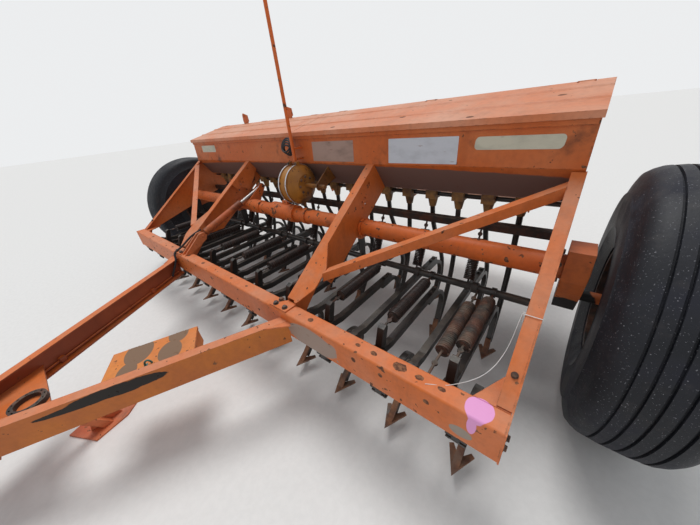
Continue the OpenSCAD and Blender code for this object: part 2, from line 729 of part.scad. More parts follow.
// Fittings on the hopper's ridge: two upright lugs and the hinges of the lids
hinge_in = 10;
hinge_z = wall_top + lid_rise - 2;
hinge_x = [150, 960, 1790];
hinge_l = 60;
rod_r = 3.5;
ridge_rail_z = wall_top + lid_rise - 18 + sheet_t + 0.1;
module ridge_fittings() {
    color(orange) {
        for (x = [-1360, -550]) {
            translate([0, ridge_y + 3, 0]) rotate([90, 0, 0]) linear_extrude(6) difference() {
                polygon([[x - 40, ridge_rail_z], [x + 40, ridge_rail_z], [x + 40, lid_top + 14],
                    [x + 58, lid_top + 20], [x + 50, lid_top + 84],
                         [x - 34, lid_top + 110], [x - 52, lid_top + 96], [x - 58, lid_top + 30]]);
                translate([x - 26, lid_top + 78]) circle(11);
            }
            translate([x - 26, ridge_y + 12, lid_top + 78]) rotate([90, 0, 0]) cylinder(h = 24, r = 10.8);
        }
        for (m = [0, 1], k = hinge_x, s = [-1, 1]) mirror([m, 0, 0]) {
            y = ridge_y + s * hinge_in;
            bar_x(k - 8, hinge_l + 16, y, hinge_z, rod_r);
            for (x = [k - 7, k + hinge_l + 1]) plate_x(x, 6) {
                translate([y, hinge_z]) circle(5.5);
                polygon([[y - 5, ridge_rail_z], [y + 5, ridge_rail_z], [y + 3, hinge_z], [y - 3, hinge_z]]);
            }
        }
    }
}

// Footboard behind the hopper: folded sheet boards on four brackets
board_n = 2;
module footboard() {
    w = (board_w - 10) / board_n;
    color(rust) plate_x(-hop_x + 40, 2 * hop_x - 80) for (k = [0:board_n - 1])
        translate([board_y + k * (w + 10), board_z]) difference() {
        square([w, board_t]);
        translate([sheet_t, -1]) square([w - 2 * sheet_t, board_t - sheet_t + 1]);
    }
}
module footboard_brackets() {
    color(orange) for (x = [-1640, -560, 560, 1640]) {
        plate_x(x - 5, 10) polygon([[hopper_rear - trough_in + 8, floor_rear(hopper_rear - trough_in + 8)],
            [hopper_rear - 10, floor_rear(hopper_rear - 10)],
                                     [board_y - 2, board_z - 0.2], [board_y + 130, board_z - 0.2],
                                     [board_y + board_w - 2, board_z - 0.2],
                                         [board_y + board_w - 2, board_z - 30],
                                     [board_y - 30, board_z - 60]]);
        translate([x - 25, board_y + 2, board_z - 8.2]) cube([50, board_w - 4, 8]);
    }
}

// Marker pole with its small plate
pole_r = 13;
pole_top = 2400;
module marker_pole() {
    color(rust) {
        translate([80, drum_y + 20, drum_z + drum_r + 10])
            cylinder(h = pole_top - drum_z - drum_r - 10, r = pole_r);
        translate([80 + pole_r - 1, drum_y + 18, pole_top - 150]) cube([90, 4, 140]);
        for (z = [break_z + 30, break_z + 110]) translate([80 - 15, drum_y + 20, z])
            cube([30, wall_front(z) - drum_y - 20, 12]);
    }
}

// Wiring loom in loops against the pole, over the drum
module cable_bundle() {
    color(dark_iron) for (k = [0:3]) let (r = 54 - 4 * k)
        translate([80 - 15 - 0.2 - r - 6.5, drum_y + 20, drum_z + drum_r + 150 - k * 13])
            rotate([64 + 14 * k, 0, 0])
            rotate_extrude() translate([r, 0]) circle(6.5, $fn = 16);
}

// Toolbox between the drawbar arms
box_l = 435;
box_w = 245;
box_h = arm_h - 48;
box_t = 2.5;
box_axis_y = 14;
box_axis_z = 102;
module in_box() {
    translate([arm_inner, 0, arm_top]) rotate([0, 0, -90 - arm_yaw]) rotate([0, arm_pitch, 0])
        translate([590, -box_w - 14, -arm_h]) children();
}
module toolbox() {
    color(orange) in_box() {
        difference() {
            cube([box_l, box_w, box_h]);
            translate([box_t, box_t, box_t]) cube([box_l - 2 * box_t, box_w - 2 * box_t, box_h]);
        }
        for (x = [70, box_l - 110]) translate([x, 20, -8.2]) cube([40, box_w + 40, 8.2]);
        // hinge rods along the inner side of the box
        for (x = [60, box_l - 120]) {
            translate([x, -box_axis_y, box_axis_z]) rotate([0, 90, 0]) cylinder(h = 60, r = rod_r);
            for (e = [0, 52]) translate([x + e, 0, box_axis_z - 24]) {
                translate([0, -box_axis_y - 4.5, 0]) cube([8, box_axis_y + 5.5, 14]);
                translate([0, -box_axis_y - 4.5, 0]) cube([8, box_axis_y - 3, 29]);
            }
        }
    }
}
module toolbox_lid() {
    color(orange) in_box() difference() {
        union() {
            translate([-5, -5, box_h + 1]) difference() {
                translate([0, 0, -16]) cube([box_l + 10, box_w + 10, 19]);
                translate([box_t, box_t, -17]) cube([box_l + 10 - 2 * box_t, box_w + 10 - 2 * box_t, 17]);
            }
            for (x = [60, box_l - 120]) {
                translate([x + 14, -box_axis_y, box_axis_z]) rotate([0, 90, 0]) cylinder(h = 32, r = 6.5);
                translate([x + 14, -box_axis_y, box_axis_z + 1]) cube([32, box_axis_y - 3, 5.5]);
            }
        }
        translate([40, -box_axis_y, box_axis_z]) rotate([0, 90, 0]) cylinder(h = box_l - 80, r = rod_r + 0.3);
    }
}

// Folding stand: leg, fin and foot plate
foot_t = 10;
foot_y0 = -1000;
module stand() {
    color(orange) {
        linear_extrude(foot_t) polygon([[-111, -1175], [77, -1073], [40, -905], [-17, -840], [-104, -891],
            [-165, -1040]]);
        plate_x(-32, 12) polygon([[foot_y0 - 80, foot_t - 1], [foot_y0 + 80, foot_t - 1], [foot_y0 + 56, 60],
            [foot_y0 + 6, 104],
                                  [foot_y0 - 60, 84]]);
        difference() {
            union() {
                plate_x(-20, 40) polygon([[foot_y0 - 22, foot_t - 1], [foot_y0 + 24, foot_t - 1],
                    [stand_y + 22, stand_z], [stand_y - 22, stand_z]]);
                bar_x(-28, 56, stand_y, stand_z, 26);
            }
            bar_x(-60, 120, stand_y, stand_z, 10.3);
        }
    }
}

// Oil pipe clipped to the left arm
module oil_pipe() {
    color(dark_iron) mirror([1, 0, 0]) translate([arm_inner, 0, arm_top]) rotate([0, 0, -90 - arm_yaw])
        rotate([0, arm_pitch, 0])
        translate([120, arm_w - arm_t - 8.2, -arm_h + 24]) rotate([0, 90, 0])
            cylinder(h = arm_run - 60, r = 8);
}

// Rockshaft with its lift lever
module rockshaft() {
    len = 2 * (crank_x + crank_w + 4);
    color(orange) difference() {
        union() {
            bar_x(-len / 2, len, rock_y, rock_z, rock_d / 2);
            bar_x(-545, 150, rock_y, rock_z, rock_d / 2 + 7);
            bar_x(-210, 320, rock_y, rock_z, rock_d / 2 + 18);
            translate([-60, rock_y - 12, rock_z + rock_d / 2]) cube([70, 24, 46]);
            bar_x(210, 46, rock_y, rock_z, rock_d / 2 + 9);
            for (s = [-1, 1]) bar_x(s * (sup_out + 20) - 8, 16, rock_y, rock_z, rock_d / 2 + 10);
            for (s = [-1, 1]) plate_x(lever_x + s * 26 - 8, lever_t) polygon([
                [rock_y - 70, rock_z + 20], [lever_pin_y - 28, lever_pin_z + 14],
                    [lever_pin_y, lever_pin_z + 30],
                [lever_pin_y + 28, lever_pin_z], [rock_y + 70, rock_z - 30], [rock_y, rock_z - 76]]);
        }
        bar_x(-len / 2 - 1, len + 2, rock_y, rock_z, rock_d / 2 - rock_wall);
        bar_x(lever_x - 60, 120, lever_pin_y, lever_pin_z, pin_d / 2);
    }
}

// Wheel cranks: dog-leg boxes with the stub axles
module crank(side) {
    color(orange) mirrored(side) {
        plate_x(crank_x, crank_w) difference() {
            polygon([[608, 945], [738, 945], [752, 800], [886, 688], [905, 600], [850, 552], [764, 566],
                     [640, 728], [606, 800]]);
            translate([rock_y, rock_z]) circle(rock_d / 2 + 0.3);
        }
        bar_x(crank_x + crank_w, tyre_x + 60 - crank_x - crank_w, axle_y, axle_z, axle_d / 2);
    }
}

// Wheels
rim_w = 290;
hub_r = 62;
axle_clear = 0.3;
module rim(side) {
    color(rust) mirrored(side) translate([tyre_x, axle_y, axle_z]) rotate([0, 90, 0]) {
        rotate_extrude($fn = 96) {
            // rim barrel with its edges
            polygon([[rim_d / 2 - 8, -rim_w / 2], [rim_d / 2 + 18, -rim_w / 2],
                [rim_d / 2 + 18, -rim_w / 2 + 8],
                     [rim_d / 2, -rim_w / 2 + 16], [rim_d / 2, rim_w / 2 - 16],
                         [rim_d / 2 + 18, rim_w / 2 - 8],
                     [rim_d / 2 + 18, rim_w / 2], [rim_d / 2 - 8, rim_w / 2]]);
            // disc
            polygon([[axle_d / 2 + axle_clear, -100], [hub_r, -100], [hub_r, 10], [rim_d / 2 - 60, 30],
                [rim_d / 2 - 7, 60],
                     [rim_d / 2 - 7, 72], [rim_d / 2 - 66, 42], [hub_r, 24], [hub_r, 66],
                         [axle_d / 2 + axle_clear, 66]]);
        }
    }
}
groove_n = 5;
tyre_r = tyre_d / 2;
seat_r = rim_d / 2;
// Half sections of the tyre, outside and inside, from the bead to the tread:
// [radius, distance from the middle]
tyre_out = [[seat_r + 0.3, rim_w / 2 - 17], [seat_r + 18.5, rim_w / 2 - 9], [seat_r + 18.5, rim_w / 2 + 6],
            [seat_r + 90, tyre_w / 2 - 4], [seat_r + 160, tyre_w / 2], [tyre_r - 120, tyre_w / 2 - 4],
            [tyre_r - 56, tyre_w / 2 - 22], [tyre_r - 16, tyre_w / 2 - 56], [tyre_r, tyre_w / 2 - 100]];
tyre_in = [[seat_r - 1, rim_w / 2 - 50], [seat_r + 40, rim_w / 2 - 24], [seat_r + 90, tyre_w / 2 - 26],
           [seat_r + 160, tyre_w / 2 - 20], [tyre_r - 126, tyre_w / 2 - 26], [tyre_r - 74, tyre_w / 2 - 46],
           [tyre_r - 40, tyre_w / 2 - 86], [tyre_r - 32, tyre_w / 2 - 115]];
function both_sides(h) = concat(h, [for (k = [len(h) - 1:-1:0]) [h[k][0], -h[k][1]]]);
module tyre(side) {
    color(rubber) mirrored(side) translate([tyre_x, axle_y, axle_z]) rotate([0, 90, 0])
        rotate_extrude($fn = 96) difference() {
        polygon(both_sides(tyre_out));
        polygon(both_sides(tyre_in));
        for (k = [0:groove_n - 1]) translate([tyre_r - 11, (k - (groove_n - 1) / 2) * 42 - 5])
            square([20, 10]);
    }
}

// Lift ram
ram_dy = lever_pin_y - ram_base_y;
ram_dz = lever_pin_z - ram_base_z;
ram_len = norm([ram_dy, ram_dz]);
ram_ang = atan2(ram_dz, ram_dy);
barrel_len = ram_len - 290;
module in_ram() {
    translate([lever_x, ram_base_y, ram_base_z]) rotate([ram_ang, 0, 0]) children();
}
module eye(y, w, free) {
    translate([-w / 2, y, 0]) rotate([0, 90, 0]) difference() {
        cylinder(h = w, r = 29);
        translate([0, 0, -1]) cylinder(h = w + 2, r = pin_d / 2 + free);
    }
}
module ram_barrel() {
    color(orange) in_ram() {
        eye(0, 30, 0.3);
        translate([0, 24, 0]) rotate([-90, 0, 0]) cylinder(h = 30, r = 14);
        translate([0, 46, 0]) rotate([-90, 0, 0]) difference() {
            cylinder(h = barrel_len - 46, r = 33);
            translate([0, 0, 14]) cylinder(h = barrel_len, r = 28);
        }
    }
}
module ram_rod() {
    color("silver") in_ram() {
        eye(ram_len, 30, eye_drift);
        translate([0, barrel_len - 60, 0]) rotate([-90, 0, 0])
            cylinder(h = ram_len - 26 - barrel_len + 60, r = 16);
        translate([0, barrel_len - 80, 0]) rotate([-90, 0, 0]) cylinder(h = 40, r = 27);
    }
}

// Bracket behind the beam with the ram's base pin, and the pin in the lift lever
module ram_bracket() {
    color(orange) {
        for (s = [-1, 1]) plate_x(lever_x + s * 27 - 6, 12)
            polygon([[-beam_d + 14, beam_top + 0.2], [-4, beam_top + 0.2], [ram_base_y + 22, ram_base_z - 34],
                     [ram_base_y + 34, ram_base_z], [ram_base_y + 14, ram_base_z + 34],
                         [ram_base_y - 30, ram_base_z + 28]]);
        bar_x(lever_x - 46, 92, ram_base_y, ram_base_z, pin_d / 2);
    }
}
module lever_pin() {
    color(dark_iron) bar_x(lever_x - 46, 92, lever_pin_y, lever_pin_z, pin_d / 2 - 0.2);
}

// Lids, front and rear, two of each, hinged along the ridge
lid_y0 = hopper_front - lid_over;
lid_y1 = ridge_y - 8;
function lid_z(y) = lid_top + 0.3 - (ridge_y - y) * lid_tan;
function rib(y) = [[y + 14, lid_z(y + 14) + sheet_t], [y + 6, lid_z(y + 6) + sheet_t + 5],
                   [y - 6, lid_z(y - 6) + sheet_t + 5], [y - 14, lid_z(y - 14) + sheet_t]];
module lid_outline() {
    polygon(concat([[lid_y0, lid_z(lid_y0) - lid_lip], [lid_y0 + sheet_t, lid_z(lid_y0) - lid_lip],
                    [lid_y0 + sheet_t, lid_z(lid_y0 + sheet_t)], [lid_y1, lid_z(lid_y1)],
                        [lid_y1, lid_z(lid_y1) + sheet_t]],
                   rib(lid_y0 + 0.74 * (lid_y1 - lid_y0)), rib(lid_y0 + 0.36 * (lid_y1 - lid_y0)),
                   [[lid_y0, lid_z(lid_y0) + sheet_t]]));
}
module lid(side) {
    color(orange) mirrored(side) difference() {
        union() {
            plate_x(lid_gap / 2, hop_x + 8 - lid_gap / 2) lid_outline();
            for (x = hinge_x) bar_x(x, hinge_l, ridge_y - hinge_in, hinge_z, 6);
        }
        for (x = hinge_x) {
            bar_x(x - 10, hinge_l + 20, ridge_y - hinge_in, hinge_z, rod_r + 0.3);
            translate([x - 10, lid_y1 - 22, hinge_z - 12]) cube([10, 30, 24]);
            translate([x + hinge_l, lid_y1 - 22, hinge_z - 12]) cube([10, 30, 24]);
        }
    }
}
module rear_lid(side) {
    translate([0, 2 * ridge_y, 0]) mirror([0, 1, 0]) lid(side);
}

module place() {
    translate([0, y_shift, 0]) children();
}

place() front_beam();
place() drawbar(-1);  // drawbar_left
place() drawbar(1);  // drawbar_right
place() hitch();
place() drawbar_cross_plate();
place() slotted_ring();
place() side_frame(-1);  // side_frame_left
place() side_frame(1);  // side_frame_right
place() support(-1);  // support_left
place() support(1);  // support_right
place() brace(-1);  // brace_left
place() brace(1);  // brace_right
place() beam_gussets();
place() spring_bar();
place() rear_toolbar();
place() hopper_body();
place() hopper_end(-1);  // hopper_end_left
place() hopper_end(1);  // hopper_end_right
place() seed_cups();
place() fertiliser_cups();
place() meter_shafts();
place() seed_tubes();
place() front_tines();
place() front_sweeps();
place() tine_brackets();
place() sowing_arms();
place() sowing_shanks();
place() sowing_points();
place() tine_springs();
place() spring_hooks();
place() drive_drum();
place() ridge_fittings();
place() cable_bundle();
place() footboard();
place() footboard_brackets();
place() marker_pole();
place() toolbox();
place() oil_pipe();
place() rockshaft();
place() crank(-1);  // crank_left
place() crank(1);  // crank_right
place() rim(-1);  // rim_left
place() tyre(-1);  // tyre_left
place() rim(1);  // rim_right
place() tyre(1);  // tyre_right
place() ram_bracket();
place() lever_pin();
place() ram_barrel();
place() ram_rod();
place() lid(-1);  // lid_left
place() lid(1);  // lid_right
place() rear_lid(-1);  // rear_lid_left
place() rear_lid(1);  // rear_lid_right
place() toolbox_lid();
place() stand();
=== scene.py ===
"""Looks of the trailed seed drill: worn paint, rust, oil and rubber, tyres, springs, plates and bolts."""

import math

import bpy
from mathutils import Matrix, Vector


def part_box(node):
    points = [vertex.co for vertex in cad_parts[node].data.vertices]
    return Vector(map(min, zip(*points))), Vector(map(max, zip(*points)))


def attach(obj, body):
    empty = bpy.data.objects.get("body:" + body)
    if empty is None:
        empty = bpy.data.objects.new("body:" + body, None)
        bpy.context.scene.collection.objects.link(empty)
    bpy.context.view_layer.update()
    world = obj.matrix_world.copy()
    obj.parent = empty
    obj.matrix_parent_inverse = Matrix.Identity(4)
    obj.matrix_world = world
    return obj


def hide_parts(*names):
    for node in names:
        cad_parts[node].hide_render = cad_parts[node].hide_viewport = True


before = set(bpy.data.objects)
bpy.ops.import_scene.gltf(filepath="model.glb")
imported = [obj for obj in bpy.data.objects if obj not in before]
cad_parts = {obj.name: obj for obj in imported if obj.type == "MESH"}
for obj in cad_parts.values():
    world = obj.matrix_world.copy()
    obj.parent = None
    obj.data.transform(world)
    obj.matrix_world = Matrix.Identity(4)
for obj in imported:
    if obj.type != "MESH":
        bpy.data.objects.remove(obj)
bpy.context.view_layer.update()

# Places taken from the frame, in metres
beam_low, beam_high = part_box("front_beam")
BEAM_FRONT = beam_low.y
BEAM_REAR = beam_high.y
BEAM_TOP = beam_high.z
BEAM_MIDDLE = (beam_low.z + beam_high.z) / 2
HALF_WIDTH = beam_high.x
wheel_low, wheel_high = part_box("tyre_right")
WHEEL_X = (wheel_low.x + wheel_high.x) / 2
WHEEL_Y = (wheel_low.y + wheel_high.y) / 2
TYRE_RADIUS = (wheel_high.z - wheel_low.z) / 2
TYRE_WIDTH = wheel_high.x - wheel_low.x

# Sizes of the sheet metal and the drawbar that the frame's boxes don't give
ARM_YAW = math.radians(27.4)
ARM_TOP = BEAM_TOP - 0.048
ARM_DROP = 0.050
ARM_DEPTH = 0.158
ARM_RUN = 1.456
ARM_FLANGE = 0.056
ARM_INNER = 0.801
PIPE_HEIGHT = 0.026
WALL_BASE = 1.224
WALL_TOP = 1.456
WALL_LEAN = 0.012
WALL_FRONT = BEAM_REAR + 0.862
FRAME_SLOPE = math.tan(math.radians(35.4))
ROCK_Y = BEAM_REAR + 0.680
ROCK_Z = 0.836
FRAME_FACE = HALF_WIDTH + 0.006
DRUM_Y = BEAM_REAR + 0.762
DRUM_Z = 1.068
DRUM_RADIUS = 0.159
PIVOT_Y = BEAM_REAR + 0.070
PIVOT_Z = 0.478
SPRING_BAR_Y = BEAM_REAR + 0.675
ROW_PITCH = 0.178
ROWS = 20

# Colours as they are written in linear light
ORANGE = (0.66, 0.155, 0.028)
ORANGE_DEEP = (0.46, 0.095, 0.026)
# Painted shade: the left drawbar's sides, a shaded copy of the orange paint whose lit top is ORANGE
PAINTED_SHADE_RED = (0.27, 0.062, 0.024)
PAINTED_SHADE_RED_FADED = (0.38, 0.088, 0.030)
ARM_YELLOW = (0.62, 0.190, 0.024)
ARM_BROWN = (0.50, 0.140, 0.030)
HOPPER_ORANGE = (0.56, 0.120, 0.018)
HOPPER_FADED = (0.58, 0.160, 0.045)
CRANK_ORANGE = (0.44, 0.105, 0.036)
SHAFT_ORANGE = (0.68, 0.135, 0.018)
SHAFT_FADED = (0.60, 0.150, 0.040)
BOX_YELLOW = (0.74, 0.235, 0.032)
BOX_ORANGE = (0.68, 0.20, 0.036)
BOX_BROWN = (0.20, 0.115, 0.065)
STAND_RED = (0.55, 0.11, 0.040)
DRUM_OCHRE = (0.44, 0.180, 0.022)
DRUM_BROWN = (0.20, 0.080, 0.024)
SALMON = (0.66, 0.205, 0.080)
PALE_SALMON = (0.68, 0.30, 0.175)
PRIMER = (0.16, 0.040, 0.022)
RUST = (0.105, 0.040, 0.022)
RUST_LIGHT = (0.26, 0.115, 0.055)
GREASE = (0.012, 0.010, 0.009)
STREAK = (0.010, 0.006, 0.004)
IRON = (0.030, 0.025, 0.022)
IRON_BROWN = (0.050, 0.035, 0.028)
BOLT_BROWN = (0.060, 0.035, 0.025)
SPRING_BROWN = (0.022, 0.014, 0.012)
DUST = (0.42, 0.36, 0.27)
# Dust darkened into painted shade, for the sloping sheet under the hopper's front wall
DUSTY_SHADE_BROWN = (0.170, 0.100, 0.082)
RUBBER = (0.009, 0.010, 0.014)
RUBBER_GREYED = (0.025, 0.026, 0.036)
GRIT = (0.33, 0.33, 0.36)
SOIL = (0.14, 0.12, 0.11)
HOSE_BLACK = (0.026, 0.026, 0.029)
OCHRE = (0.30, 0.155, 0.045)
CAST_BROWN = (0.12, 0.060, 0.030)
ALUMINIUM = (0.56, 0.56, 0.58)
STEEL = (0.42, 0.41, 0.40)
PLATE_GREY = (0.60, 0.63, 0.68)
PLATE_FADED = (0.40, 0.27, 0.22)
PLATE_CREAM = (0.60, 0.58, 0.46)
PADLOCK_GREEN = (0.060, 0.190, 0.175)
STRING_WHITE = (0.72, 0.72, 0.70)
PINK = (0.82, 0.36, 0.66)
OVAL_TAN = (0.33, 0.27, 0.22)
RUBBED_TAN = (0.36, 0.26, 0.21)
BARE_METAL = (0.42, 0.36, 0.32)
FLOOR = (0.80, 0.79, 0.77)


class Surface:
    """A node material: a Principled shader and short calls that add the nodes which feed it."""

    def __init__(self, name, metallic=0.0, specular=0.4):
        self.material = bpy.data.materials.new(name)
        self.material.use_nodes = True
        self.nodes = self.material.node_tree.nodes
        self.links = self.material.node_tree.links
        self.shader = self.nodes["Principled BSDF"]
        self.shader.inputs["Metallic"].default_value = metallic
        self.shader.inputs["Specular IOR Level"].default_value = specular
        self.place = self.nodes.new("ShaderNodeTexCoord").outputs["Object"]
        self.normal = self.nodes.new("ShaderNodeNewGeometry").outputs["Normal"]

    def feed(self, socket, value):
        if isinstance(value, bpy.types.NodeSocket):
            self.links.new(value, socket)
        elif isinstance(value, tuple) and len(socket.default_value) == 4:
            socket.default_value = (*value, 1.0)
        else:
            socket.default_value = value

    def math(self, operation, first, second=0.0):
        node = self.nodes.new("ShaderNodeMath")
        node.operation = operation
        node.use_clamp = operation in ("ADD", "SUBTRACT", "MULTIPLY")
        self.feed(node.inputs[0], first)
        self.feed(node.inputs[1], second)
        return node.outputs[0]

    def vector(self, operation, first, second):
        node = self.nodes.new("ShaderNodeVectorMath")
        node.operation = operation
        self.feed(node.inputs[0], first)
        self.feed(node.inputs[1], second)
        return node.outputs["Value" if operation in ("LENGTH", "DOT_PRODUCT") else "Vector"]

    def noise(self, scale, detail=4.0, stretch=(1.0, 1.0, 1.0), shift=0.0):
        node = self.nodes.new("ShaderNodeTexNoise")
        moved = self.vector("ADD", self.vector("MULTIPLY", self.place, stretch), (shift, shift, shift))
        self.feed(node.inputs["Vector"], moved)
        node.inputs["Scale"].default_value = scale
        node.inputs["Detail"].default_value = detail
        node.inputs["Roughness"].default_value = 0.6
        return node.outputs["Fac"]

    def between(self, value, low, high, first=0.0, last=1.0):
        node = self.nodes.new("ShaderNodeMapRange")
        node.interpolation_type = "SMOOTHSTEP"
        self.feed(node.inputs["Value"], value)
        for label, number in (("From Min", low), ("From Max", high), ("To Min", first), ("To Max", last)):
            node.inputs[label].default_value = number
        return node.outputs["Result"]

    def mix(self, share, first, second):
        node = self.nodes.new("ShaderNodeMix")
        node.data_type = "RGBA"
        self.feed(node.inputs["Factor"], share)
        self.feed(node.inputs[6], first)
        self.feed(node.inputs[7], second)
        return node.outputs[2]

    def upness(self):
        node = self.nodes.new("ShaderNodeSeparateXYZ")
        self.feed(node.inputs[0], self.normal)
        return node.outputs["Z"]

    def edges(self, width):
        """Near 1 along the sharp edges of a piece, 0 elsewhere."""
        node = self.nodes.new("ShaderNodeBevel")
        node.samples = 3
        node.inputs["Radius"].default_value = width
        alike = self.vector("DOT_PRODUCT", node.outputs["Normal"], self.normal)
        return self.between(alike, 0.995, 0.86)

    def patch(self, centre, size, ragged=0.5, turn=0.0, scale=14.0):
        """A ragged spot: 1 inside the ellipsoid of that size round a place, turned about +Z."""
        away = self.vector("SUBTRACT", self.place, tuple(centre))
        if turn:
            node = self.nodes.new("ShaderNodeVectorRotate")
            node.rotation_type = "Z_AXIS"
            node.inputs["Angle"].default_value = turn
            self.feed(node.inputs["Vector"], away)
            away = node.outputs["Vector"]
        length = self.vector("LENGTH", self.vector("DIVIDE", away, tuple(size)), (0.0, 0.0, 0.0))
        torn = self.math("MULTIPLY", self.noise(scale, 5.0), ragged)
        reach = self.nodes.new("ShaderNodeMath")
        reach.operation = "ADD"
        self.feed(reach.inputs[0], length)
        self.feed(reach.inputs[1], torn)
        edge = 1.0 + ragged / 2
        return self.between(reach.outputs[0], edge + 0.03, edge - 0.03)

    def finish(self, colour, roughness, height=None, strength=0.25):
        self.feed(self.shader.inputs["Base Color"], colour)
        self.feed(self.shader.inputs["Roughness"], roughness)
        if height is not None:
            bump = self.nodes.new("ShaderNodeBump")
            bump.inputs["Strength"].default_value = strength
            bump.inputs["Distance"].default_value = 0.002
            self.feed(bump.inputs["Height"], height)
            self.feed(self.shader.inputs["Normal"], bump.outputs["Normal"])
        return self.material


def worn_paint(name, fresh, faded, wear=0.5, dust=0.3, dark=0.0, top=None, spots=(), stains=()):
    """Old machine paint: faded in clouds, chipped to rust at edges and in spots, dusty on top.

    top is the colour of faces that look up, which is sun-faded paint and painted light from above while the
    sides keep a darker painted shade; spots are places where the paint is off, and stains are patches in a
    colour of their own, as (centre, size, turn about +Z, colour, raggedness).
    """
    s = Surface(name, specular=0.35)
    clouds = s.between(s.noise(1.7, 3.0), 0.38, 0.66)
    colour = s.mix(clouds, fresh, faded)
    # Faces that look up take the top colour: sun-faded paint and painted light from above, leaving the sides
    # as painted shade
    if top:
        colour = s.mix(s.between(s.upness(), 0.5, 0.9), colour, top)
    runs = s.between(s.noise(9.0, 4.0, (1.0, 1.0, 0.12)), 0.52, 0.72)
    colour = s.mix(s.math("MULTIPLY", runs, 0.35), colour, tuple(c * 0.62 for c in fresh))
    mottle = s.between(s.noise(38.0, 4.0), 0.35, 0.75)
    colour = s.mix(s.math("MULTIPLY", mottle, 0.16), colour, PRIMER)
    if dark:
        grime = s.between(s.noise(4.2, 6.0, shift=3.0), 0.62 - 0.3 * dark, 0.80 - 0.2 * dark)
        colour = s.mix(s.math("MULTIPLY", grime, 0.85), colour, GREASE)
    settled = s.math("MULTIPLY", s.between(s.upness(), 0.3, 0.95), s.between(s.noise(6.0, 5.0), 0.35, 0.7))
    colour = s.mix(s.math("MULTIPLY", settled, dust), colour, DUST)
    chips = s.between(s.noise(27.0, 2.0, shift=7.0), 0.76 - 0.09 * wear, 0.785 - 0.09 * wear)
    flakes = s.between(s.noise(7.5, 5.0, shift=11.0), 0.755 - 0.07 * wear, 0.77 - 0.07 * wear)
    bare = s.math("MAXIMUM", chips, flakes)
    rubbed = s.math("MULTIPLY", s.edges(0.006), s.between(s.noise(21.0, 4.0), 0.50 - 0.1 * wear, 0.62))
    bare = s.math("MAXIMUM", bare, rubbed)
    for centre, size in spots:
        bare = s.math("MAXIMUM", bare, s.patch(centre, size, 1.3, scale=38.0))
    rusty = s.mix(s.between(s.noise(60.0, 4.0), 0.4, 0.65), RUST, RUST_LIGHT)
    colour = s.mix(bare, colour, rusty)
    # Stains are real marks, except the hopper's band under its front wall, which is dust and painted shade
    for centre, size, turn, stain, ragged in stains:
        colour = s.mix(s.patch(centre, size, ragged, turn), colour, stain)
    roughness = s.between(bare, 0.0, 1.0, 0.52, 0.85)
    height = s.math("SUBTRACT", s.math("MULTIPLY", mottle, 0.3), s.math("MULTIPLY", bare, 0.9))
    return s.finish(colour, roughness, height, 0.5)


def rusty_iron(name, base, light, oil=0.3, dust=0.25):
    """Bare iron: rust in two tones, oily and glossy in places, dusty where it lies flat."""
    s = Surface(name, metallic=0.0, specular=0.5)
    tones = s.between(s.noise(16.0, 6.0), 0.36, 0.68)
    colour = s.mix(tones, base, light)
    oily = s.between(s.noise(3.1, 4.0, shift=5.0), 0.60 - 0.35 * oil, 0.74 - 0.2 * oil)
    colour = s.mix(s.math("MULTIPLY", oily, 0.9), colour, GREASE)
    settled = s.math("MULTIPLY", s.between(s.upness(), 0.2, 0.9), s.between(s.noise(11.0, 5.0), 0.42, 0.7))
    colour = s.mix(s.math("MULTIPLY", settled, dust), colour, DUST)
    worn = s.math("MULTIPLY", s.edges(0.004), s.between(s.noise(30.0, 3.0), 0.45, 0.65))
    colour = s.mix(s.math("MULTIPLY", worn, 0.5), colour, BARE_METAL)
    roughness = s.between(oily, 0.0, 1.0, 0.80, 0.36)
    return s.finish(colour, roughness, s.noise(70.0, 5.0), 0.45)


def old_rubber(name):
    """Blue-black tyre rubber with grey scuffs, fine pale grit and patches of soil."""
    s = Surface(name, specular=0.3)
    greyed = s.between(s.noise(5.0, 6.0), 0.42, 0.75)
    colour = s.mix(greyed, RUBBER, RUBBER_GREYED)
    grit = s.between(s.noise(190.0, 2.0), 0.655, 0.72)
    colour = s.mix(s.math("MULTIPLY", grit, 0.60), colour, GRIT)
    soil = s.between(s.noise(13.0, 7.0, shift=2.0), 0.56, 0.78)
    colour = s.mix(s.math("MULTIPLY", soil, 0.16), colour, SOIL)
    return s.finish(colour, s.between(greyed, 0.0, 1.0, 0.55, 0.85), s.noise(90.0, 5.0), 0.4)


def scuffed_plate(name, pale, share=0.35):
    """A blank painted plate with weathered, scratched patches."""
    s = Surface(name, specular=0.4)
    faded = s.between(s.noise(6.0, 6.0, (1.0, 1.0, 2.0)), 0.45, 0.70)
    colour = s.mix(s.math("MULTIPLY", faded, share), pale, tuple(c * 0.55 for c in pale))
    scratched = s.between(s.noise(34.0, 3.0, (0.25, 1.0, 1.6)), 0.66, 0.72)
    colour = s.mix(s.math("MULTIPLY", scratched, 0.6), colour, PRIMER)
    return s.finish(colour, 0.6, s.noise(80.0, 3.0), 0.15)


def bright_metal(name, tone, rough=0.35):
    """Plated or cast metal, spotted with light rust."""
    s = Surface(name, metallic=0.85, specular=0.5)
    spots = s.between(s.noise(40.0, 5.0), 0.56, 0.70)
    colour = s.mix(s.math("MULTIPLY", spots, 0.8), tone, RUST_LIGHT)
    return s.finish(colour, s.between(spots, 0.0, 1.0, rough, 0.85), s.noise(60.0, 4.0), 0.2)


def plain_dirty(name, tone, rough=0.7, share=0.4):
    """Plastic, cloth or cord in one tone, soiled in patches."""
    s = Surface(name, specular=0.3)
    soiled = s.between(s.noise(25.0, 5.0), 0.45, 0.70)
    colour = s.mix(s.math("MULTIPLY", soiled, share), tone, RUST)
    return s.finish(colour, rough, s.noise(120.0, 3.0), 0.2)


